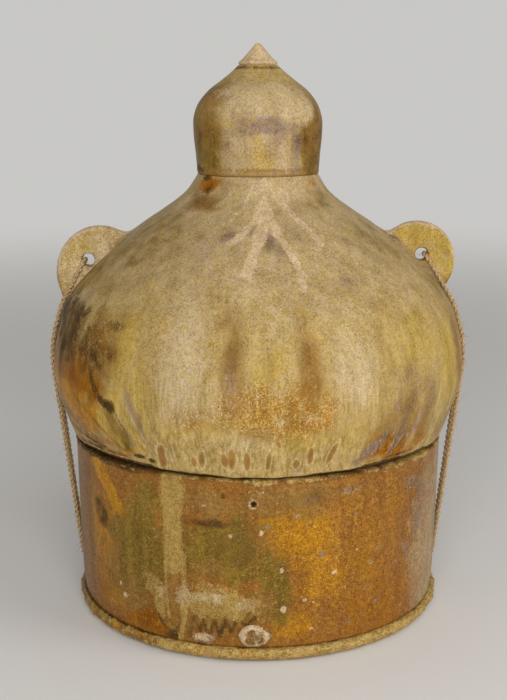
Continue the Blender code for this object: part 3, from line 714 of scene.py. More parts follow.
def quads_of(index):
    """Quads between the rows and columns of a grid of point numbers."""
    corners = (index[:-1, :-1], index[:-1, 1:], index[1:, 1:], index[1:, :-1])
    return np.stack(corners, axis=-1).reshape(-1, 4).tolist()


def mesh_of(name, points, faces, merge=0.0):
    """A smooth mesh whose faces look outwards, with points nearer than merge made one."""
    mesh = bpy.data.meshes.new(name)
    mesh.from_pydata(points.tolist(), [], faces)
    shape = bmesh.new()
    shape.from_mesh(mesh)
    if merge:
        bmesh.ops.remove_doubles(shape, verts=shape.verts, dist=merge)
    bmesh.ops.recalc_face_normals(shape, faces=shape.faces)
    shape.to_mesh(mesh)
    shape.free()
    mesh.shade_smooth()
    return mesh


def grid_object(name, grid, body, node, ring=True):
    """A piece of quads through a grid of points, closed round its columns, and its rows too if a ring."""
    rows, columns = grid.shape[:2]
    index = np.arange(rows * columns).reshape(rows, columns)
    if ring:
        index = np.vstack([index, index[:1]])
    index = np.hstack([index, index[:, :1]])
    return piece(name, mesh_of(name, grid.reshape(-1, 3), quads_of(index), MERGE_REACH), body, node)


def piece(name, mesh, body, node=None):
    obj = placed(name, mesh)
    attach(obj, body)
    if node:
        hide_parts(node)
    return obj


def rows_of(points):
    return np.array([tuple(point) for point in points])


def run_along(line):
    """How far along a line each of its points is."""
    return np.concatenate([[0.0], np.cumsum(np.linalg.norm(np.diff(line, axis=0), axis=1))])


def spaced(points, step):
    """The polyline of points in even steps, as an array."""
    line = rows_of(points)
    run = run_along(line)
    at = np.linspace(0.0, run[-1], max(2, round(run[-1] / step) + 1))
    return np.column_stack([np.interp(at, run, column) for column in line.T])


def round_edge(corner, wall, rise):
    """A half ellipse from a wall's outer corner to its inner one, over the edge by that rise."""
    turns = np.linspace(0.0, pi, EDGE_POINTS)[1:-1]
    return np.column_stack([corner[0] - wall / 2 * (1 - np.cos(turns)), corner[1] + rise * np.sin(turns)])


def revolve(profile, azimuths):
    """The grid of a profile of (radius, height) rows swept round Z."""
    radius, height = profile[:, :1], profile[:, 1:]
    ones = np.ones_like(azimuths)
    return np.stack([radius * np.sin(azimuths), -radius * np.cos(azimuths), height * ones], axis=-1)


def even_azimuths(columns):
    return np.linspace(-pi, pi, columns, endpoint=False)


def turned(name, profile, columns, body, node, ring=True):
    """A piece turned round Z from a profile."""
    return grid_object(name, revolve(profile, even_azimuths(columns)), body, node, ring)


def turn_of(points):
    return np.arctan2(points[:, 0], -points[:, 1])


def reach_of(points):
    return np.hypot(points[:, 0], points[:, 1])


def reach_at(outline, heights):
    """The outline's radius at each height."""
    line = rows_of(outline)
    return np.interp(heights, line[:, 1], line[:, 0])


def depth_under(outline, points):
    return reach_at(outline, points[:, 2]) - reach_of(points)


def pushed(points, outwards, upwards=0.0):
    """Points moved away from the axis and up."""
    reach = reach_of(points)
    share = np.where(reach > TINY, 1 + outwards / np.maximum(reach, TINY), 1.0)
    return points * np.column_stack([share, share, np.ones_like(share)]) + np.outer(upwards, (0.0, 0.0, 1.0))


def rim_lift(azimuths):
    return RIM_WAVE * np.cos(2 * azimuths)


def lip_lift(azimuths):
    """The lid's warped lip, which gapes between its four seats, and is ragged with glaze."""
    around = np.column_stack([np.sin(azimuths), np.cos(azimuths), np.zeros_like(azimuths)]) * LIP_RADIUS
    ripple = LIP_RIPPLE * (1 + rough_noise(around, 0.013, 17))
    return rim_lift(azimuths) + LID_GAPE * (1 - np.cos(4 * azimuths)) / 2 + ripple


def wave(points, outline, edge, still, lift):
    """The points near an edge moved along the outline by the edge's lift."""
    share = np.clip((points[:, 2] - still) / (edge - still), 0.0, 1.0)
    height = points[:, 2] + share * lift(turn_of(points))
    widen = np.where(share > 0, reach_at(outline, height) / reach_at(outline, points[:, 2]), 1.0)
    return np.column_stack([points[:, 0] * widen, points[:, 1] * widen, height])


def points_of(obj):
    flat = np.empty(len(obj.data.vertices) * 3)
    obj.data.vertices.foreach_get("co", flat)
    return flat.reshape(-1, 3)


def move_points(obj, points):
    obj.data.vertices.foreach_set("co", points.ravel())
    obj.data.update()


def paint(obj, **layers):
    """Lays named values on the points, each where it is stronger than what is there."""
    for name, values in layers.items():
        layer = obj.data.attributes.get(name) or obj.data.attributes.new(name, "FLOAT", "POINT")
        before = np.empty(len(layer.data))
        layer.data.foreach_get("value", before)
        layer.data.foreach_set("value", np.maximum(before, np.clip(values, 0.0, 1.0)))


def along(outline, heights):
    """How far up an outline each height is, along its surface."""
    line = rows_of(outline)
    return np.interp(heights, line[:, 1], run_along(line))


def nearness(points, outline, patch, ragged):
    """How far each point is from a patch's middle, where 1 is its edge."""
    azimuth, height, half_width, half_height, _, *lean = patch
    gap = (turn_of(points) - radians(azimuth) + pi) % (2 * pi) - pi
    across = reach_of(points) * gap
    up = along(outline, points[:, 2]) - along(outline, height * MM)
    lean = radians(sum(lean))
    wide = (across * cos(lean) - up * sin(lean)) / (half_width * MM)
    high = (across * sin(lean) + up * cos(lean)) / (half_height * MM)
    return np.hypot(wide, high) + ragged


def paint_patches(obj, outline, patches, seed):
    """Patches with ragged edges, and small ones with plainer and crisper edges."""
    points = points_of(obj)
    ragged = bumps(points, PATCH_EDGE, seed) + bumps(points, PATCH_EDGE_FINE, seed + 1)
    for name, rows in patches.items():
        total = np.zeros(len(points))
        for row in rows:
            share, edge, full = SMALL_PATCH_FADE if min(row[2:4]) < SMALL_PATCH else PATCH_FADE
            far = nearness(points, outline, row, ragged * share)
            total = np.maximum(total, row[4] * smoothstep(edge, full, far))
        paint(obj, **{name: total})


def paint_runs(obj, outline, runs, seed):
    """Runs of glaze that follow lines over a surface, with ragged sides and ends."""
    points = points_of(obj)
    ragged = bumps(points, RUN_EDGE, seed)
    for name, route, half_width, strength in runs:
        places = []
        for azimuth, height in route:
            place = reach_at(outline, height * MM) * outward(radians(azimuth))
            places.append(np.array([place[0], place[1], height * MM]))
        far = np.full(len(points), np.inf)
        for start, end in zip(places, places[1:]):
            run = end - start
            share = np.clip((points - start) @ run / (run @ run), 0.0, 1.0)
            far = np.minimum(far, np.linalg.norm(points - start - share[:, None] * run, axis=1))
        paint(obj, **{name: strength * smoothstep(*RUN_FADE, far / (half_width * MM) + ragged)})


def carried_round(patches, seed):
    """The front's patches on the side that isn't shown, mirrored and each a little changed."""
    rng = np.random.default_rng(seed)
    back = {}
    for name, rows in patches.items():
        back[name] = []
        for azimuth, height, half_width, half_height, strength, *lean in rows:
            turn, rise, size = rng.uniform(-8, 8), rng.uniform(-2, 2), rng.uniform(0.8, 1.25)
            row = (180 - azimuth + turn, height + rise, half_width * size, half_height * size, strength)
            back[name].append((*row, -sum(lean)))
    return back


def paint_all_round(obj, outline, patches, runs, seeds):
    """The patches and runs of the front, and the patches once more, carried round to the back."""
    front, running, back, change = seeds
    paint_patches(obj, outline, patches, front)
    paint_runs(obj, outline, runs, running)
    paint_patches(obj, outline, carried_round(patches, change), back)


# Materials


class Surface:
    """Builds one procedural material, node by node. Any input is a plain value or another node's output."""

    def __init__(self, name):
        self.material = bpy.data.materials.new(name)
        self.material.use_nodes = True
        self.tree = self.material.node_tree
        self.shader = self.tree.nodes["Principled BSDF"]
        self.place = self.tree.nodes.new("ShaderNodeTexCoord").outputs["Object"]

    def feed(self, socket, value):
        if isinstance(value, bpy.types.NodeSocket):
            self.tree.links.new(value, socket)
        elif isinstance(value, tuple) and socket.type == "RGBA":
            socket.default_value = (*value, 1.0)
        else:
            socket.default_value = value

    def node(self, kind, *inputs, **settings):
        made = self.tree.nodes.new(kind)
        for key, value in settings.items():
            setattr(made, key, value)
        for socket, value in inputs:
            self.feed(made.inputs[socket], value)
        return made

    def math(self, operation, first, second=0.0, third=0.0):
        inputs = ((0, first), (1, second), (2, third))
        return self.node("ShaderNodeMath", *inputs, operation=operation).outputs[0]

    def times(self, first, second, plus=None):
        """The product of two values, with a third one added if it is given."""
        if plus is None:
            return self.math("MULTIPLY", first, second)
        return self.math("MULTIPLY_ADD", first, second, plus)

    def stretched(self, scale):
        return self.node("ShaderNodeMapping", ("Vector", self.place), ("Scale", scale)).outputs[0]

    def noise(self, size, detail=3.0, roughness=0.6, place=None, distortion=0.0):
        """Noise whose bumps are about that many metres across."""
        inputs = (
            ("Vector", place or self.place),
            ("Scale", 1 / size),
            ("Detail", detail),
            ("Roughness", roughness),
            ("Distortion", distortion),
        )
        return self.node("ShaderNodeTexNoise", *inputs).outputs["Fac"]

    def cells(self, size, output="Distance"):
        inputs = (("Vector", self.place), ("Scale", 1 / size))
        return self.node("ShaderNodeTexVoronoi", *inputs).outputs[output]

    def mask(self, name):
        return self.node("ShaderNodeAttribute", attribute_name=name).outputs["Fac"]

    def steps(self, value, low, high):
        """From 0 at low to 1 at high, with soft ends."""
        inputs = (("Value", value), ("From Min", low), ("From Max", high))
        return self.node("ShaderNodeMapRange", *inputs, interpolation_type="SMOOTHSTEP").outputs["Result"]

    def spread(self, value, low, high):
        """From low to high as a value goes from 0 to 1."""
        inputs = (("Value", value), ("To Min", low), ("To Max", high))
        return self.node("ShaderNodeMapRange", *inputs).outputs["Result"]

    def mix(self, share, first, second, blend="MIX"):
        made = self.node("ShaderNodeMix", (0, share), data_type="RGBA", blend_type=blend)
        self.feed(made.inputs[6], first)
        self.feed(made.inputs[7], second)
        return made.outputs[2]

    def mix_value(self, share, first, second):
        return self.node("ShaderNodeMix", (0, share), (2, first), (3, second), data_type="FLOAT").outputs[0]

    def bump(self, height, strength, distance):
        inputs = (("Height", height), ("Strength", strength), ("Distance", distance))
        return self.node("ShaderNodeBump", *inputs).outputs["Normal"]

    def finish(self, colour, roughness, normal, **fixed):
        self.feed(self.shader.inputs["Base Color"], colour)
        self.feed(self.shader.inputs["Roughness"], roughness)
        self.feed(self.shader.inputs["Normal"], normal)
        for name, value in fixed.items():
            self.shader.inputs[name.replace("_", " ")].default_value = value
        return self.material


def fired_glaze(name, light, dark, ground_roughness, shine, streaks):
    """Wood-ash glaze: a mottled ground, with the layers of fired colour over it where they are painted, some
    of them painted sheen and painted shade.
    """
    surface = Surface(name)
    math, times, steps, mask, mix = surface.math, surface.times, surface.steps, surface.mask, surface.mix
    grain = surface.noise(0.0008, detail=2.0, roughness=0.7)
    fleck = surface.noise(0.0026, detail=2.0)
    cloud = surface.noise(0.012, distortion=0.5)
    runs = surface.noise(0.0016, detail=2.0, place=surface.stretched((1.0, 1.0, 0.09)))
    brush = surface.noise(0.0085, roughness=0.55, place=surface.stretched((1.0, 1.0, 0.16)))
    mottle = times(grain, 0.66, times(fleck, 0.34))
    streak = times(grain, 0.4, times(runs, 0.6))
    running = mask("running")
    texture = surface.mix_value(running, mottle, streak)
    tone = steps(surface.mix_value(streaks, texture, brush), 0.37, 0.63)
    ragged = times(texture, 2.6, times(cloud, 1.4, -2.0))
    colour = mix(tone, dark, light)
    roughness = ground_roughness
    for layer, layer_light, layer_dark, raggedness, softness, layer_roughness in GLAZE_LAYERS:
        laid = mask(layer)
        cover = steps(times(ragged, raggedness, laid), 0.30 - softness, 0.66 + softness)
        cover = times(cover, steps(laid, 0.02, 0.25))
        colour = mix(cover, colour, mix(tone, layer_dark, layer_light))
        roughness = surface.mix_value(cover, roughness, layer_roughness)
    # Grains of grey and of yellow ash, and of brown clay
    coarse = surface.spread(running, 0.70, 0.46)
    ashy = times(math("SUBTRACT", 1.0, mask("glass")), coarse)
    grains = surface.node("ShaderNodeSeparateColor", ("Color", surface.cells(0.00075, "Color"))).outputs
    for grain_share, tint, strength in zip(grains, GRAIN_TINTS, (ashy, ashy, coarse)):
        colour = mix(times(steps(grain_share, 0.62, 0.84), strength), colour, tint, "MULTIPLY")
    # Curdled glaze: brown veins with pale rims
    vein = math("ABSOLUTE", math("SUBTRACT", surface.noise(0.0026, detail=1.0, distortion=1.6), 0.5))
    curdle = steps(times(ragged, 0.5, mask("curdle")), 0.25, 0.75)
    colour = mix(times(steps(vein, 0.062, 0.022), curdle), colour, CURDLE_COLOUR)
    colour = mix(times(steps(vein, 0.12, 0.18), times(curdle, 0.35)), colour, CURDLE_RIM)
    # Drops of brown glaze inside pale rims
    drop = times(math("SUBTRACT", texture, 0.5), 1.7, mask("drop"))
    rim = times(steps(drop, 0.18, 0.30), steps(drop, 0.50, 0.36))
    colour = mix(times(rim, 0.5), colour, CURDLE_RIM)
    colour = mix(times(steps(drop, 0.40, 0.80), 0.85), colour, mix(tone, DROP_COLOUR, AMBER_LIGHT))
    # Fine threads of glaze that ran down, and iron specks
    for low, high, tint in THREADS:
        colour = mix(times(steps(runs, low, high), times(running, 0.6)), colour, tint, "MULTIPLY")
    dots = times(steps(surface.cells(0.0022), 0.34, 0.16), mask("specks"))
    colour = mix(times(dots, 0.6), colour, SPECK_COLOUR)
    height = times(grain, 0.5, times(texture, 0.7))
    wear = times(grain, 0.2, math("SUBTRACT", roughness, 0.1))
    return surface.finish(colour, wear, surface.bump(height, 0.30, 0.0006), Specular_IOR_Level=shine)


def jute(name):
    """Twisted bast fibre: pale straw with darker strands between the plies."""
    surface = Surface(name)
    fibre = surface.noise(0.0004, place=surface.stretched((1.0, 1.0, 0.25)))
    patch = surface.noise(0.006, detail=2.0)
    colour = surface.mix(surface.steps(fibre, 0.32, 0.68), JUTE_DARK, JUTE_LIGHT)
    colour = surface.mix(surface.times(surface.steps(patch, 0.45, 0.70), 0.45), colour, JUTE_WARM)
    return surface.finish(colour, surface.spread(fibre, 0.75, 0.95), surface.bump(fibre, 0.6, 0.0002))


def floor_paper():
    """Pale paper under the urn, which fades into the plain backdrop."""
    surface = Surface("floor_paper")
    tooth = surface.noise(0.004, detail=4.0)
    colour = surface.mix(tooth, FLOOR_COLOUR, tuple(0.98 * share for share in FLOOR_COLOUR))
    surface.finish(colour, 0.9, surface.bump(tooth, 0.05, 0.0005))
    away = surface.node("ShaderNodeVectorMath", (0, surface.place), operation="LENGTH").outputs["Value"]
    plain = surface.node("ShaderNodeEmission", ("Color", BACKDROP_COLOUR)).outputs[0]
    inputs = ((0, surface.steps(away, *FLOOR_FADE)), (1, surface.shader.outputs[0]), (2, plain))
    fade = surface.node("ShaderNodeMixShader", *inputs)
    surface.feed(surface.tree.nodes["Material Output"].inputs["Surface"], fade.outputs[0])
    return surface.material


def dress(obj, material):
    obj.data.materials.clear()
    obj.data.materials.append(material)
    return obj


# Pieces


def build_slab(material):
    """The slab under the drum, with a rough bead of ash and glaze on its edge."""
    edge = FOOT_EDGE_ROUND
    flat = FOOT_RADIUS - edge
    over = np.linspace(pi / 2, 0.0, EDGE_POINTS)
    below = np.linspace(0.0, -pi / 2, EDGE_POINTS)
    upper = np.column_stack([flat + edge * np.cos(over), FOOT_THICKNESS - edge + edge * np.sin(over)])
    under = np.column_stack([FOOT_UNDERCUT * (np.cos(below) - 1), FOOT_UNDERCUT_RISE * (1 + np.sin(below))])
    top = spaced([(0.0, FOOT_THICKNESS), (flat, FOOT_THICKNESS)], INNER_STEP)
    bottom = spaced([(FOOT_RADIUS - FOOT_UNDERCUT, 0.0), (0.0, 0.0)], INNER_STEP)
    profile = np.vstack([top[:-1], upper, under + (FOOT_RADIUS, 0.0), bottom[1:]])
    slab = turned("slab", profile, SLAB_COLUMNS, "base", "foot_slab", ring=False)
    points = points_of(slab)
    height = points[:, 2]
    past_drum = reach_of(points) - DRUM_BOTTOM_RADIUS
    turn = np.degrees(turn_of(points))
    side = smoothstep(0.0003, FOOT_RADIUS - DRUM_BOTTOM_RADIUS - 0.0008, past_drum)
    lumps = rough_noise(points, SLAB_LUMPS[1], 11)
    fine = rough_noise(points, SLAB_GRAINS[1], 12, 2)
    out = side * (SLAB_LUMPS[0] * lumps + SLAB_GRAINS[0] * fine)
    bead = SLAB_BEAD[0] * rough_noise(points, SLAB_BEAD[1], 13)
    rise = side * bead * smoothstep(0.004, FOOT_THICKNESS, height)
    moved = pushed(points, out, rise)
    moved[:, 2] = np.maximum(moved[:, 2], 0.0)
    move_points(slab, moved)
    left = band(turn, -100, -80, -30, -4)
    # A dark line along the crease where the drum meets the slab, partly painted shade.
    seam_and_shade = 0.9 * smoothstep(0.0013, 0.0003, np.abs(past_drum - 0.0006)) * (height > FOOT_THICKNESS / 2)
    ash = 0.72 + 0.3 * lumps + 0.35 * fine - 0.42 * smoothstep(-15, -40, turn)
    paint(
        slab,
        crust=smoothstep(-0.0005, 0.0006, past_drum) * ash,
        bare=smoothstep(-0.0006, -0.003, past_drum),
        tan=side * smoothstep(3.6, 1.6, np.abs(turn + 23.5) + 1.5 * lumps),
        glow=side * smoothstep(0.0, 0.6, rough_noise(points, 0.011, 14) + 0.5 * left),
        brown=side * left * smoothstep(-0.9, 0.2, rough_noise(points, 0.008, 15)),
        olive=0.6 * side * smoothstep(10, 50, turn) * smoothstep(-0.2, 0.6, rough_noise(points, 0.009, 16)),
        # Dark: painted shadow over the slab's lowest 3 mm where it meets the floor, and the dark line in the
        # crease under the drum.
        dark=np.maximum(side * smoothstep(0.0030, 0.0010, height) * 0.7, seam_and_shade),
    )
    dress(slab, material)


def wall_profile(outer, wall, top_edge):
    """The closed section of a thrown wall, with one rounded edge: its rim on top, or its lip below."""
    fine = spaced(outer, OUTER_STEP)
    inner = spaced(inset(outer, wall), INNER_STEP)
    inside = np.vstack([fine[0] - (wall, 0.0), inner[1:-1], fine[-1] - (wall, 0.0)])
    if top_edge:
        return np.vstack([fine, round_edge(fine[-1], wall, EDGE_DROP), inside[::-1]])
    return np.vstack([fine[::-1], round_edge(fine[0], wall, -EDGE_DROP), inside])


def drum_outside(points):
    return smoothstep(*DRUM_SKIN, RIM_RADIUS - reach_of(points))


def vent_ring(points):
    """How far points are from the vent's middle, and how full its raised ring is there."""
    vent = RIM_RADIUS * outward(VENT_AZIMUTH) + Vector((0.0, 0.0, RIM_HEIGHT - VENT_DROP))
    away = np.linalg.norm(points - np.array(vent), axis=1)
    return away, bell(away, VENT_RING_RADIUS, VENT_RING_WIDTH)


def build_drum(material):
    """The drum, with its crusted rim, the pierced vent in its raised ring, and its two tie holes."""
    outer = drum_outline(FINE_STEPS)
    near = VENT_AZIMUTH + np.linspace(-VENT_ZONE, VENT_ZONE, VENT_COLUMNS)
    coarse = even_azimuths(DRUM_COLUMNS)
    coarse = coarse[np.abs(coarse - VENT_AZIMUTH) > VENT_ZONE * 1.1]
    azimuths = np.sort(np.concatenate([coarse, near]))
    drum = grid_object("drum", revolve(wall_profile(outer, BASE_WALL, True), azimuths), "base", "base_drum")
    points = points_of(drum)
    height = points[:, 2]
    outside = drum_outside(points)
    above = smoothstep(RIM_HEIGHT - 0.0032, RIM_HEIGHT - 0.0012, height)
    lumps = rough_noise(points, 0.005, 21)
    steady = smoothstep(0.010, 0.016, height)
    swell = steady * (bumps(points, DRUM_SWELL, 22) + thrown(points, DRUM_RINGS, 23))
    away, ring = vent_ring(points)
    bowl = VENT_BOWL * smoothstep(VENT_RING_RADIUS, VENT_RADIUS * 0.6, away)
    raised = VENT_RING_RISE * ring * (1 + 0.3 * lumps)
    out = swell + above * (RIM_CRUST + RIM_CRUST_LUMPS * lumps) + raised - bowl
    inner = steady * ridges(points, DRUM_RIDGES, 24)
    inner *= smoothstep(RIM_HEIGHT - 0.002, RIM_HEIGHT - 0.008, height)
    moved = pushed(points, outside * out + (1 - outside) * inner)
    line = [*outer, Vector((RIM_RADIUS, RIM_HEIGHT))]
    move_points(drum, wave(moved, line, RIM_HEIGHT, RIM_HEIGHT - RIM_WAVE_DEPTH, rim_lift))
    cutters = [drill(side * TIE_AZIMUTH, TIE_HEIGHT, TIE_HOLE_RADIUS) for side in (-1, 1)]
    cut(drum, [*cutters, drill(VENT_AZIMUTH, RIM_HEIGHT - VENT_DROP, VENT_RADIUS)])
    points = points_of(drum)
    height = points[:, 2]
    outside = drum_outside(points)
    turn = np.degrees(turn_of(points))
    away, ring = vent_ring(points)
    crumbs = rough_noise(points, 0.006, 25)
    level = height - rim_lift(turn_of(points)) * smoothstep(RIM_HEIGHT - RIM_WAVE_DEPTH, RIM_HEIGHT, height)
    edge = smoothstep(RIM_HEIGHT - 0.0034, RIM_HEIGHT - 0.0016, level + 0.0010 * crumbs)
    paint(
        drum,
        bare=1 - outside,
        # Dark: painted shade on the rim's top band under the lid's lip, stronger towards the left, and round
        # the vent's hole.
        dark=np.maximum(
            edge * (0.55 + 0.3 * smoothstep(-25, -40, turn)),
            smoothstep(VENT_RADIUS * 1.6, VENT_RADIUS, away),
        ),
        crust=edge * (0.50 + 0.35 * crumbs) * (1 - 0.55 * smoothstep(-18, -34, turn)),
        blush=ring * 0.65,
        specks=outside * band(turn_of(points), -0.1, 0.4, 1.4, 2.2),
        glass=outside * 0.8,
    )
    paint_all_round(drum, outer, DRUM_PATCHES, DRUM_RUNS, DRUM_SEEDS)
    dress(drum, material)


def drill(azimuth, height, radius):
    """A round cutter that pierces the drum's wall square to it."""
    mesh = bpy.data.meshes.new("cutter")
    shape = bmesh.new()
    size = {"radius1": radius, "radius2": radius, "depth": 3 * BASE_WALL}
    bmesh.ops.create_cone(shape, cap_ends=True, segments=DRILL_FACETS, **size)
    turn = outward(azimuth).to_track_quat("Z", "Y").to_matrix().to_4x4()
    middle = (radius_at(drum_outline(OUTLINE_STEPS), height) - BASE_WALL / 2) * outward(azimuth)
    shape.transform(Matrix.Translation(middle + Vector((0.0, 0.0, height))) @ turn)
    shape.to_mesh(mesh)
    shape.free()
    return mesh


def cut(obj, meshes):
    """Takes cutters out of a piece, and leaves it one plain mesh."""
    cutters = bpy.data.collections.new("cutters")
    bpy.context.scene.collection.children.link(cutters)
    for mesh in meshes:
        cutters.objects.link(bpy.data.objects.new("cutter", mesh))
    modifier = obj.modifiers.new("holes", "BOOLEAN")
    modifier.operand_type = "COLLECTION"
    modifier.collection = cutters
    modifier.solver = "MANIFOLD"
    graph = bpy.context.evaluated_depsgraph_get()
    graph.update()
    made = bpy.data.meshes.new_from_object(obj.evaluated_get(graph))
    obj.modifiers.clear()
    obj.data = made
    for cutter in list(cutters.objects):
        bpy.data.objects.remove(cutter)
    bpy.data.collections.remove(cutters)


def build_dome(material):
    """The lid's dome: pale drips from the neck, ash over the shoulder, and amber from the flame."""
    outer = dome_outline(FINE_STEPS)
    dome = turned("dome", wall_profile(outer, LID_WALL, False), DOME_COLUMNS, "lid", "lid_dome")
    points = points_of(dome)
    height = points[:, 2]
    turn = np.degrees(turn_of(points))
    outside = smoothstep(*DOME_SKIN, depth_under(outer, points))
    free = band(height, RIM_HEIGHT + 0.002, RIM_HEIGHT + 0.012, NECK_HEIGHT - 0.006, NECK_HEIGHT)
    swell = bumps(points, DOME_SWELL, 41) + bumps(points, DOME_DENTS, 42)
    swell += thrown(points, DOME_RINGS, 43, 0.15)
    inner = (1 - outside) * ridges(points, DOME_RIDGES, 44)
    moved = pushed(points, free * (outside * swell + inner))
    lip = RIM_HEIGHT + JOINT_GAP
    line = [Vector((LIP_RADIUS, lip)), *outer]
    move_points(dome, wave(moved, line, lip, lip + LIP_FADE, lip_lift))
    above = height - lip - lip_lift(np.radians(turn))
    seared = band(turn, -78, -66, -42, -33) + band(turn, 28, 36, 46, 54)
    seared *= outside * (0.75 + 0.35 * noise_field(points, 0.004, 57))
    lip_shade = 0.8 * outside * smoothstep(0.0004, -0.0002, above)
    paint(
        dome,
        bare=1 - outside,
        running=outside * smoothstep(0.185, 0.125, height),
        # The upper dome paler: ash over the shoulder, and painted sheen where the light falls.
        haze=0.62 * outside * smoothstep(0.165, 0.225, height),
        blush=0.8 * seared * band(above, 0.0, 0.0006, 0.0008, 0.0014),
        dark=np.maximum(lip_shade, 0.8 * seared * band(above, 0.0008, 0.0016, 0.0022, 0.0036)),
        amber=0.95 * seared * smoothstep(0.0075, 0.0030, above),
    )
    paint_all_round(dome, outer, DOME_PATCHES, DOME_RUNS, DOME_SEEDS)
    dress(dome, material)


def build_ring(material):
    """The collar inside the lid that keeps it centred on the drum."""
    inner_wall = inset(dome_outline(FINE_STEPS), LID_WALL)
    outer = RIM_RADIUS - BASE_WALL - RING_CLEARANCE
    inner = outer - RING_THICKNESS
    seat = RIM_HEIGHT + JOINT_GAP + LIP_FADE
    top = seat + RING_SEAT_HEIGHT
    foot = RIM_HEIGHT - RING_DROP
    upper = (radius_at(inner_wall, top) - JOINT_GAP, top)
    corners = (
        upper,
        (radius_at(inner_wall, seat) - JOINT_GAP, seat),
        (outer, seat - RING_BEVEL),
        (outer, foot + RING_BEVEL),
        (outer - RING_BEVEL, foot),
        (inner + RING_BEVEL, foot),
        (inner, foot + RING_BEVEL),
        (inner, seat),
        upper,
    )
    profile = spaced(corners, OUTER_STEP)[:-1]
    collar = turned("collar", profile, RING_COLUMNS, "lid", "locating_ring")
    points = points_of(collar)
    move_points(collar, pushed(points, -RING_RELIEF[0] - thrown(points, RING_RELIEF, 61)))
    paint(collar, bare=np.ones(len(points)))
    dress(collar, material)


def build_knob(material):
    """The hollow bulb on the neck, which overhangs it a little."""
    outer = knob_outline(FINE_STEPS)
    bottom, top = outer[0].y, outer[-1].y
    fine = spaced([outer[0] - Vector((0.0004, LUTE_SINK)), *outer], OUTER_STEP)
    inner = spaced(inset(outer, KNOB_WALL), INNER_STEP)
    inside = inner[inner[:, 1] < top - KNOB_WALL]
    inside[0] = fine[0] - (KNOB_WALL, 0.0)
    cap = spaced([(0.0, top), outer[-1]], INNER_STEP)
    ceiling = spaced([(inside[-1][0], top - KNOB_WALL), (0.0, top - KNOB_WALL)], INNER_STEP)
    profile = np.vstack([cap[:-1], fine[::-1], inside, ceiling])
    knob = turned("knob_glazed", profile, KNOB_COLUMNS, "lid", "knob", ring=False)
    points = points_of(knob)
    height = points[:, 2]
    outside = smoothstep(*KNOB_SKIN, depth_under(outer, points))
    free = smoothstep(top, top - 0.004, height)
    swell = bumps(points, KNOB_SWELL, 71) + thrown(points, KNOB_RINGS, 72)
    skirt = smoothstep(bottom + 0.0016, bottom + 0.0002, height) * bumps(points, KNOB_SKIRT, 73)
    move_points(knob, pushed(points, outside * free * (swell + skirt)))
    # The lowest band of the knob brown: a brown glaze line, partly painted shade under the knob's overhang.
    paint(knob, bare=1 - outside, brown=0.7 * outside * smoothstep(bottom + 0.0014, bottom, height))
    paint_all_round(knob, outer, KNOB_PATCHES, (), KNOB_SEEDS)
    dress(knob, material)


def build_finial(material):
    """The little cone on the knob, whose foot is smeared onto it."""
    foot = NECK_HEIGHT + KNOB_HEIGHT + 2 * JOINT_GAP
    shares = ((1.0, 0.0011), (0.75, 0.0036), (0.50, 0.0068))
    tip = ((1.0, 0.0018), (0.55, 0.0004), (0.0, 0.0))
    corners = [Vector((FINIAL_RADIUS - 0.0004, foot + 0.0002))]
    corners += [Vector((FINIAL_RADIUS * share, foot + rise)) for share, rise in shares]
    corners += [Vector((FINIAL_TIP_ROUND * share, foot + FINIAL_HEIGHT - drop)) for share, drop in tip]
    outer = spaced(smooth(corners, FINE_STEPS), FINIAL_STEP)
    under = [(0.0, foot - LUTE_SINK), (FINIAL_RADIUS - 0.0006, foot - LUTE_SINK)]
    profile = np.vstack([under, outer])
    finial = turned("finial_glazed", profile, FINIAL_COLUMNS, "lid", "finial", ring=False)
    points = points_of(finial)
    rise = points[:, 2] - foot
    skirt = smoothstep(0.003, 0.0008, rise) * (rise > 0.0001)
    move_points(finial, pushed(points, skirt * bumps(points, FINIAL_SKIRT, 81)))
    full = np.ones(len(points))
    # The foot of the finial darkened: painted shade in the crease where it meets the knob.
    paint(finial, pale=full, blush=full, dark=0.55 * smoothstep(0.0011, 0.0004, rise))
    dress(finial, material)


def dome_distance(spots, outline):
    """How far (radius, height) spots are outside an outline, and below 0 inside it."""
    line = rows_of(outline)
    best = np.full(spots.shape[:-1], np.inf)
    for start, end in zip(line, line[1:]):
        run = end - start
        share = np.clip(((spots - start) @ run) / (run @ run), 0.0, 1.0)
        best = np.minimum(best, np.linalg.norm(spots - start - share[..., None] * run, axis=-1))
    return np.where(spots[..., 0] < reach_at(outline, spots[..., 1]), -best, best)


def ear_distance(spots, centre, radii, outline):
    """How far spots are outside the ear's disc where it runs smoothly into the dome."""
    scaled = (spots - centre) / radii
    near = np.maximum(np.linalg.norm(scaled, axis=-1), TINY)
    steep = np.maximum(np.linalg.norm(scaled / radii, axis=-1), TINY)
    disc = near * (near - 1) / steep
    dome = dome_distance(spots, outline)
    share = np.clip(0.5 + 0.5 * (dome - disc) / EAR_LUTE, 0.0, 1.0)
    return dome * (1 - share) + disc * share - EAR_LUTE * share * (1 - share), dome


def rounding(radius, inwards):
    """How far an edge of that radius has dropped, at a distance inwards from it."""
    inwards = np.clip(inwards, 0.0, radius)
    return radius - np.sqrt(np.maximum(radius**2 - (radius - inwards) ** 2, 0.0))


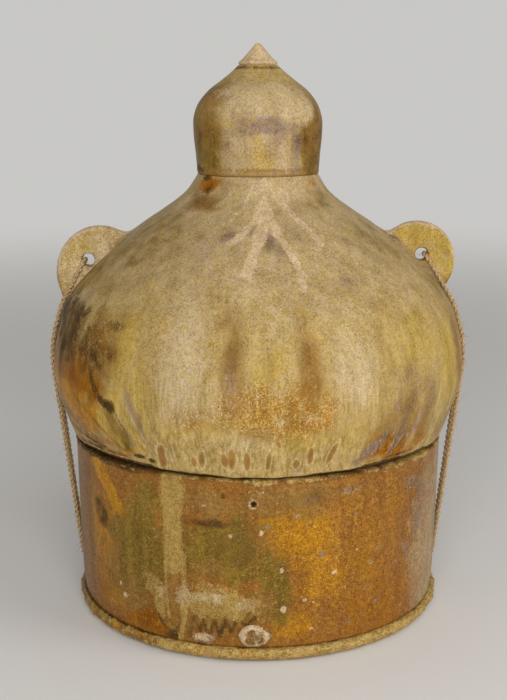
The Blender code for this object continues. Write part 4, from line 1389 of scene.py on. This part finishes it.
def build_ear(name, ear, node, material, seed):
    """A pinched disc with rounded edges and a hole for the twine, smoothed into the dome."""
    outline = dome_outline(OUTLINE_STEPS)
    centre = np.array(off_dome(ear["rise"], ear["standoff"]))
    hole = np.array(off_dome(ear["hole"], EAR_HOLE_REACH))
    radii = np.array([ear["radius"], ear["half_height"]])
    turns = np.linspace(0.0, 2 * pi, EAR_COLUMNS, endpoint=False)
    rays = np.column_stack([np.cos(turns), np.sin(turns)])
    reaches = np.arange(EAR_HOLE_RADIUS, 3 * radii.max(), EAR_RAY_STEP)
    out, dome = ear_distance(hole + reaches[:, None, None] * rays, centre, radii, outline)
    far = reaches[np.argmax((out > 0) | (dome < -EAR_ROOT), axis=0)]
    share = np.sin(np.linspace(0.0, 1.0, EAR_ROWS) * pi / 2) ** 1.2
    past_hole = (far - EAR_HOLE_RADIUS) * share[:, None]
    spots = hole + (EAR_HOLE_RADIUS + past_hole)[..., None] * rays
    out, dome = ear_distance(spots, centre, radii, outline)
    half = EAR_THICKNESS / 2 - rounding(EAR_EDGE_ROUND, -out) - rounding(EAR_HOLE_ROUND, past_hole)
    half += EAR_FILLET * np.exp(-np.maximum(dome, 0.0) / EAR_FILLET) * smoothstep(0.0, 0.004, -out)
    flat = np.stack([ear["side"] * spots[..., 0], np.zeros_like(half), spots[..., 1]], axis=-1)
    pinch = bumps(flat.reshape(-1, 3), EAR_DENTS, seed).reshape(half.shape)
    pinch *= smoothstep(0.0, 0.003, -out) * smoothstep(0.0, 0.002, past_hole)
    front, back = flat.copy(), flat.copy()
    front[..., 1] = pinch - half
    back[..., 1] = half - 0.7 * pinch
    made = grid_object(name, np.concatenate([front, back[::-1]]), "lid", node)
    points = points_of(made)
    height = points[:, 2]
    spots = np.column_stack([np.abs(points[:, 0]), height])
    out, dome = ear_distance(spots, centre, radii, outline)
    lumps = rough_noise(points, 0.006, seed + 1)
    full = np.ones(len(points))
    # Brown: painted shade along the ear's lower edge and round its hole, and random mottling over the ear.
    brown = (
        0.7 * smoothstep(-0.0060, -0.0010, out + 0.002 * lumps) * smoothstep(0.206, 0.192, height),
        0.40 * smoothstep(0.35, 0.9, rough_noise(points, 0.009, seed + 2)),
        0.8 * smoothstep(EAR_HOLE_RADIUS + 0.0012, EAR_HOLE_RADIUS, np.hypot(*(spots - hole).T)),
    )
    # Pale: the ear's bloom, and a pale upper rim that is partly painted highlight where the light falls on
    # its top.
    blush = (
        ear["bloom"] - 0.20 + 0.25 * rough_noise(points, 0.010, seed + 3),
        0.75 * smoothstep(-0.0026, -0.0006, out + 0.0006 * lumps) * smoothstep(0.192, 0.206, height),
    )
    paint(
        made,
        yellow=full,
        glass=0.6 * full,
        pale=ear["bloom"] + 0.18 * lumps,
        brown=np.max(brown, axis=0),
        blush=np.max(blush, axis=0),
        violet=0.7 * smoothstep(0.005, 0.001, dome + 0.001 * lumps),
    )
    dress(made, material)


def build_pad(material):
    """A blank pad of bare clay, pressed on low in front with a thumb."""
    rings = np.linspace(0.0, 1.0, PAD_RINGS)[:, None]
    turns = np.linspace(0.0, 2 * pi, PAD_COLUMNS, endpoint=False)
    middle = FOOT_THICKNESS + JOINT_GAP + PAD_HEIGHT / 2
    wobble = 1 + 0.05 * np.sin(3 * turns + 1.0) + 0.04 * np.sin(5 * turns)
    across = rings * PAD_WIDTH / 2 * np.cos(turns) * wobble * PAD_FILL
    up = rings * PAD_HEIGHT / 2 * np.sin(turns) * wobble * PAD_FILL
    dome = np.sqrt(np.maximum(1 - rings**3, 0.0))
    stand = PAD_THICKNESS * (0.72 * dome + 0.24 * bell(rings, 0.72, 0.13) - 0.22 * bell(rings, 0.0, 0.45))
    flat = np.stack([across, up, np.zeros_like(across)], axis=-1)
    lumps = rough_noise(flat.reshape(-1, 3), PAD_LUMPS[1], 91).reshape(across.shape)
    stand = stand + PAD_LUMPS[0] * lumps * dome
    reach = reach_at(drum_outline(FINE_STEPS), middle + up)
    azimuth = PAD_AZIMUTH + across / RIM_RADIUS
    front, back = (
        np.stack([radius * np.sin(azimuth), -radius * np.cos(azimuth), middle + up], axis=-1)
        for radius in (reach + JOINT_GAP + stand, reach + JOINT_GAP)
    )
    pad = grid_object("pad", np.concatenate([front, back[::-1]]), "base", "clay_pad", ring=False)
    points = points_of(pad)
    lumps = rough_noise(points, PAD_LUMPS[1], 92)
    full = np.ones(len(points))
    sideways = (turn_of(points) - PAD_AZIMUTH) * RIM_RADIUS / (PAD_WIDTH / 2)
    far = np.hypot(sideways, (points[:, 2] - middle) / (PAD_HEIGHT / 2))
    dark = (0.5 * smoothstep(0.07, 0.02, np.abs(far - 0.50)), 0.62 * smoothstep(0.92, 1.0, far))
    paint(
        pad,
        brown=full,
        violet=0.42 + 0.3 * lumps,
        blush=0.34 + 0.40 * smoothstep(0.16, 0.06, np.abs(far - 0.78)) + 0.6 * lumps,
        amber=0.7 * smoothstep(0.10, 0.03, np.abs(far - 0.52)),
        dark=sum(dark),
        glass=full,
    )
    dress(pad, material)


def smooth_path(route):
    """A route in short even steps, with its corners eased and its ends kept."""
    line = spaced(route, TWINE_STEP)
    eased = line.copy()
    for _ in range(TWINE_EASE):
        eased[1:-1] = (eased[:-2] + 2 * eased[1:-1] + eased[2:]) / 4
    return eased


def path_frames(line):
    """For each point of a line: its direction, and two directions square to it that don't twist."""
    along_line = np.gradient(line, axis=0)
    along_line /= np.linalg.norm(along_line, axis=1)[:, None]
    across = np.empty_like(line)
    guess = np.array([1.0, 0.0, 0.0])
    for index, ahead in enumerate(along_line):
        guess = guess - (guess @ ahead) * ahead
        guess /= np.linalg.norm(guess)
        across[index] = guess
    return along_line, across, np.cross(along_line, across)


def tube(line, radius, facets, across=None, above=None):
    """The grid of a tube along a line."""
    if across is None:
        _, across, above = path_frames(line)
    turns = np.linspace(0.0, 2 * pi, facets, endpoint=False)
    ring = np.cos(turns)[:, None] * across[:, None] + np.sin(turns)[:, None] * above[:, None]
    return line[:, None] + np.reshape(radius, (-1, 1, 1)) * ring


def tubes_mesh(name, grids):
    """One mesh of several tubes, each closed at its ends by a fan."""
    points, faces, base = [], [], 0
    for grid in grids:
        rows, columns = grid.shape[:2]
        index = base + np.arange(rows * columns).reshape(rows, columns)
        faces += quads_of(np.hstack([index, index[:, :1]]))
        faces += [index[0, ::-1].tolist(), index[-1].tolist()]
        points.append(grid.reshape(-1, 3))
        base += rows * columns
    return mesh_of(name, np.concatenate(points), faces)


def plies(line, radius):
    """The grids of two plies twisted round a line, each a little uneven."""
    _, across, above = path_frames(line)
    made = []
    for ply in range(2):
        turn = (2 * pi * run_along(line) / TWINE_PITCH + ply * pi)[:, None]
        off = np.cos(turn) * across + np.sin(turn) * above
        uneven = noise_field(line, 0.003, 101 + ply)
        middle = line + PLY_OFFSET_SHARE * radius * off
        made.append(tube(middle, PLY_SHARE * radius * (1 + 0.07 * uneven), PLY_FACETS, across, above))
    return made


def build_twine(name, ear, node, material, seed):
    """A doubled strand from an ear down to its tie, with its loose fibres."""
    line = smooth_path(twine_route(ear))
    twine = piece(name, tubes_mesh(name, plies(line, TWINE_RADIUS)), "lid", node)
    dress(twine, material)
    fuzz = build_fuzz(name + "_fuzz", line, material, ear["hairs"], seed)


def build_fuzz(name, line, material, hairs, seed):
    """Loose fibres that stand off the twine."""
    rng = np.random.default_rng(seed)
    ahead, across, above = path_frames(line)
    grids = []
    for _ in range(hairs):
        at = rng.integers(8, len(line) - 8)
        turn = rng.uniform(0.0, 2 * pi)
        away = cos(turn) * across[at] + sin(turn) * above[at]
        side = -sin(turn) * across[at] + cos(turn) * above[at]
        reach = rng.uniform(*FUZZ_REACH) * rng.uniform(0.3, 1.0)
        lean = rng.uniform(-1.6, 1.6)
        curl = rng.uniform(-0.9, 0.9)
        step = np.linspace(0.0, 1.0, FUZZ_STEPS)[:, None]
        hair = line[at] + away * (0.7 * TWINE_RADIUS + reach * step)
        hair = hair + ahead[at] * lean * reach * step**1.3 + side * curl * reach * step**2
        grids.append(tube(hair, FUZZ_RADIUS * (1.1 - 0.8 * step[:, 0]), FUZZ_FACETS))
    return dress(piece(name, tubes_mesh(name, grids), "lid"), material)


def knot_line(centre, ahead, across, above, radius, depth):
    """A strand wound into a knot: a curve that goes round twice and through itself three times."""
    turn = np.linspace(0.0, 2 * pi, KNOT_POINTS, endpoint=False)[:, None]
    wide = radius * (np.sin(turn) + 2 * np.sin(2 * turn)) / 3
    high = radius * (np.cos(turn) - 2 * np.cos(2 * turn)) / 3
    return centre + wide * across + high * above - depth * np.sin(3 * turn) * ahead


def build_tie(name, side, node, material, seed):
    """The tied-off twine: a knot outside the drum, two strands through the hole, and a knot inside."""
    ahead = np.array(outward(side * TIE_AZIMUTH))
    across = np.array([0.0, 0.0, 1.0])
    above = np.cross(ahead, across)
    level = TIE_HEIGHT * across
    knot_start, stopper_end = tie_reach()
    knots = (
        (knot_start, KNOT_LENGTH, KNOT_RADIUS),
        (stopper_end - STOPPER_LENGTH, STOPPER_LENGTH, STOPPER_RADIUS),
    )
    thick = TWINE_RADIUS * KNOT_STRAND_SHARE
    grids = []
    for start, length, radius in knots:
        centre = (start + length / 2) * ahead + level
        line = knot_line(centre, ahead, across, above, radius - thick, length / 2 - thick)
        grids += plies(np.vstack([line, line[:2]]), thick)
        core = centre + length * np.outer((-0.25, 0.0, 0.25), ahead)
        swell = np.array([0.4, 0.55, 0.4]) * radius
        grids.append(tube(core, swell, 12, np.tile(across, (3, 1)), np.tile(above, (3, 1))))
    for offset in (-1, 1):
        shift = offset * (TWINE_RADIUS * 0.92) * above + level
        ends = [(stopper_end - 0.002) * ahead + shift, (knot_start + 0.002) * ahead + shift]
        grids += plies(spaced(ends, TWINE_STEP), TWINE_RADIUS * 0.9)
    rng = np.random.default_rng(seed)
    for _ in range(TAIL_COUNT):
        start = (stopper_end - STOPPER_LENGTH * 0.8) * ahead + level
        inwards, down, aside = rng.uniform(0.2, 0.9), rng.uniform(-1.0, -0.2), rng.uniform(-0.6, 0.6)
        aim = STOPPER_RADIUS * (-ahead * inwards + across * down + above * aside)
        grids += plies(spaced([start, start + aim / 2, start + aim], TWINE_STEP), TWINE_RADIUS * 0.7)
    dress(piece(name, tubes_mesh(name, grids), "base", node), material)


# The studio


def build_light(name, at, size, power):
    data = bpy.data.lights.new(name, "AREA")
    data.shape = "SQUARE"
    data.size = size
    data.energy = power
    light = placed(name, data)
    light.location = at
    light.rotation_euler = (Vector(LIGHT_TARGET) - Vector(at)).to_track_quat("-Z", "Y").to_euler()


def build_world():
    """Soft light from all round, and the plain backdrop where the camera or a reflection looks at it."""
    world = bpy.data.worlds.new("studio")
    world.use_nodes = True
    nodes, links = world.node_tree.nodes, world.node_tree.links
    lit = nodes["Background"]
    lit.inputs["Color"].default_value = (*WORLD_COLOUR, 1.0)
    lit.inputs["Strength"].default_value = WORLD_STRENGTH
    seen = nodes.new("ShaderNodeBackground")
    seen.inputs["Color"].default_value = (*BACKDROP_COLOUR, 1.0)
    rays = nodes.new("ShaderNodeLightPath").outputs
    share = rays["Is Camera Ray"]
    for other in ("Is Glossy Ray", "Is Transmission Ray"):
        either = nodes.new("ShaderNodeMath")
        either.operation = "MAXIMUM"
        links.new(share, either.inputs[0])
        links.new(rays[other], either.inputs[1])
        share = either.outputs[0]
    choice = nodes.new("ShaderNodeMixShader")
    for index, source in enumerate((share, lit.outputs[0], seen.outputs[0])):
        links.new(source, choice.inputs[index])
    links.new(choice.outputs[0], nodes["World Output"].inputs["Surface"])
    bpy.context.scene.world = world


def build_studio():
    for name, light in (("key", KEY_LIGHT), ("left_fill", LEFT_LIGHT), ("right_fill", RIGHT_LIGHT)):
        build_light(name, *light)
    build_world()
    half = FLOOR_SIZE / 2
    mesh = bpy.data.meshes.new("floor")
    corners = [(half * x, half * y, 0.0) for x, y in ((-1, -1), (1, -1), (1, 1), (-1, 1))]
    mesh.from_pydata(corners, [], [(0, 1, 2, 3)])
    mesh.materials.append(floor_paper())
    placed("floor", mesh)


def main():
    build_camera()
    twine = jute("jute")
    build_twine("twine_left_laid", LEFT_EAR, "twine_left", twine, 201)
    build_twine("twine_right_laid", RIGHT_EAR, "twine_right", twine, 202)
    build_tie("knots_left", -1, "tie_left", twine, 211)
    build_tie("knots_right", 1, "tie_right", twine, 212)
    ash, amber, crust, clay = (fired_glaze(name, *ground) for name, ground in GROUNDS.items())
    build_slab(crust)
    build_drum(amber)
    build_pad(clay)
    build_dome(ash)
    build_ring(clay)
    build_knob(ash)
    build_finial(ash)
    build_ear("ear_left_pinched", LEFT_EAR, "ear_left", ash, 111)
    build_ear("ear_right_pinched", RIGHT_EAR, "ear_right", ash, 121)
    build_studio()
    bpy.context.scene.view_settings.view_transform = "Standard"


main()
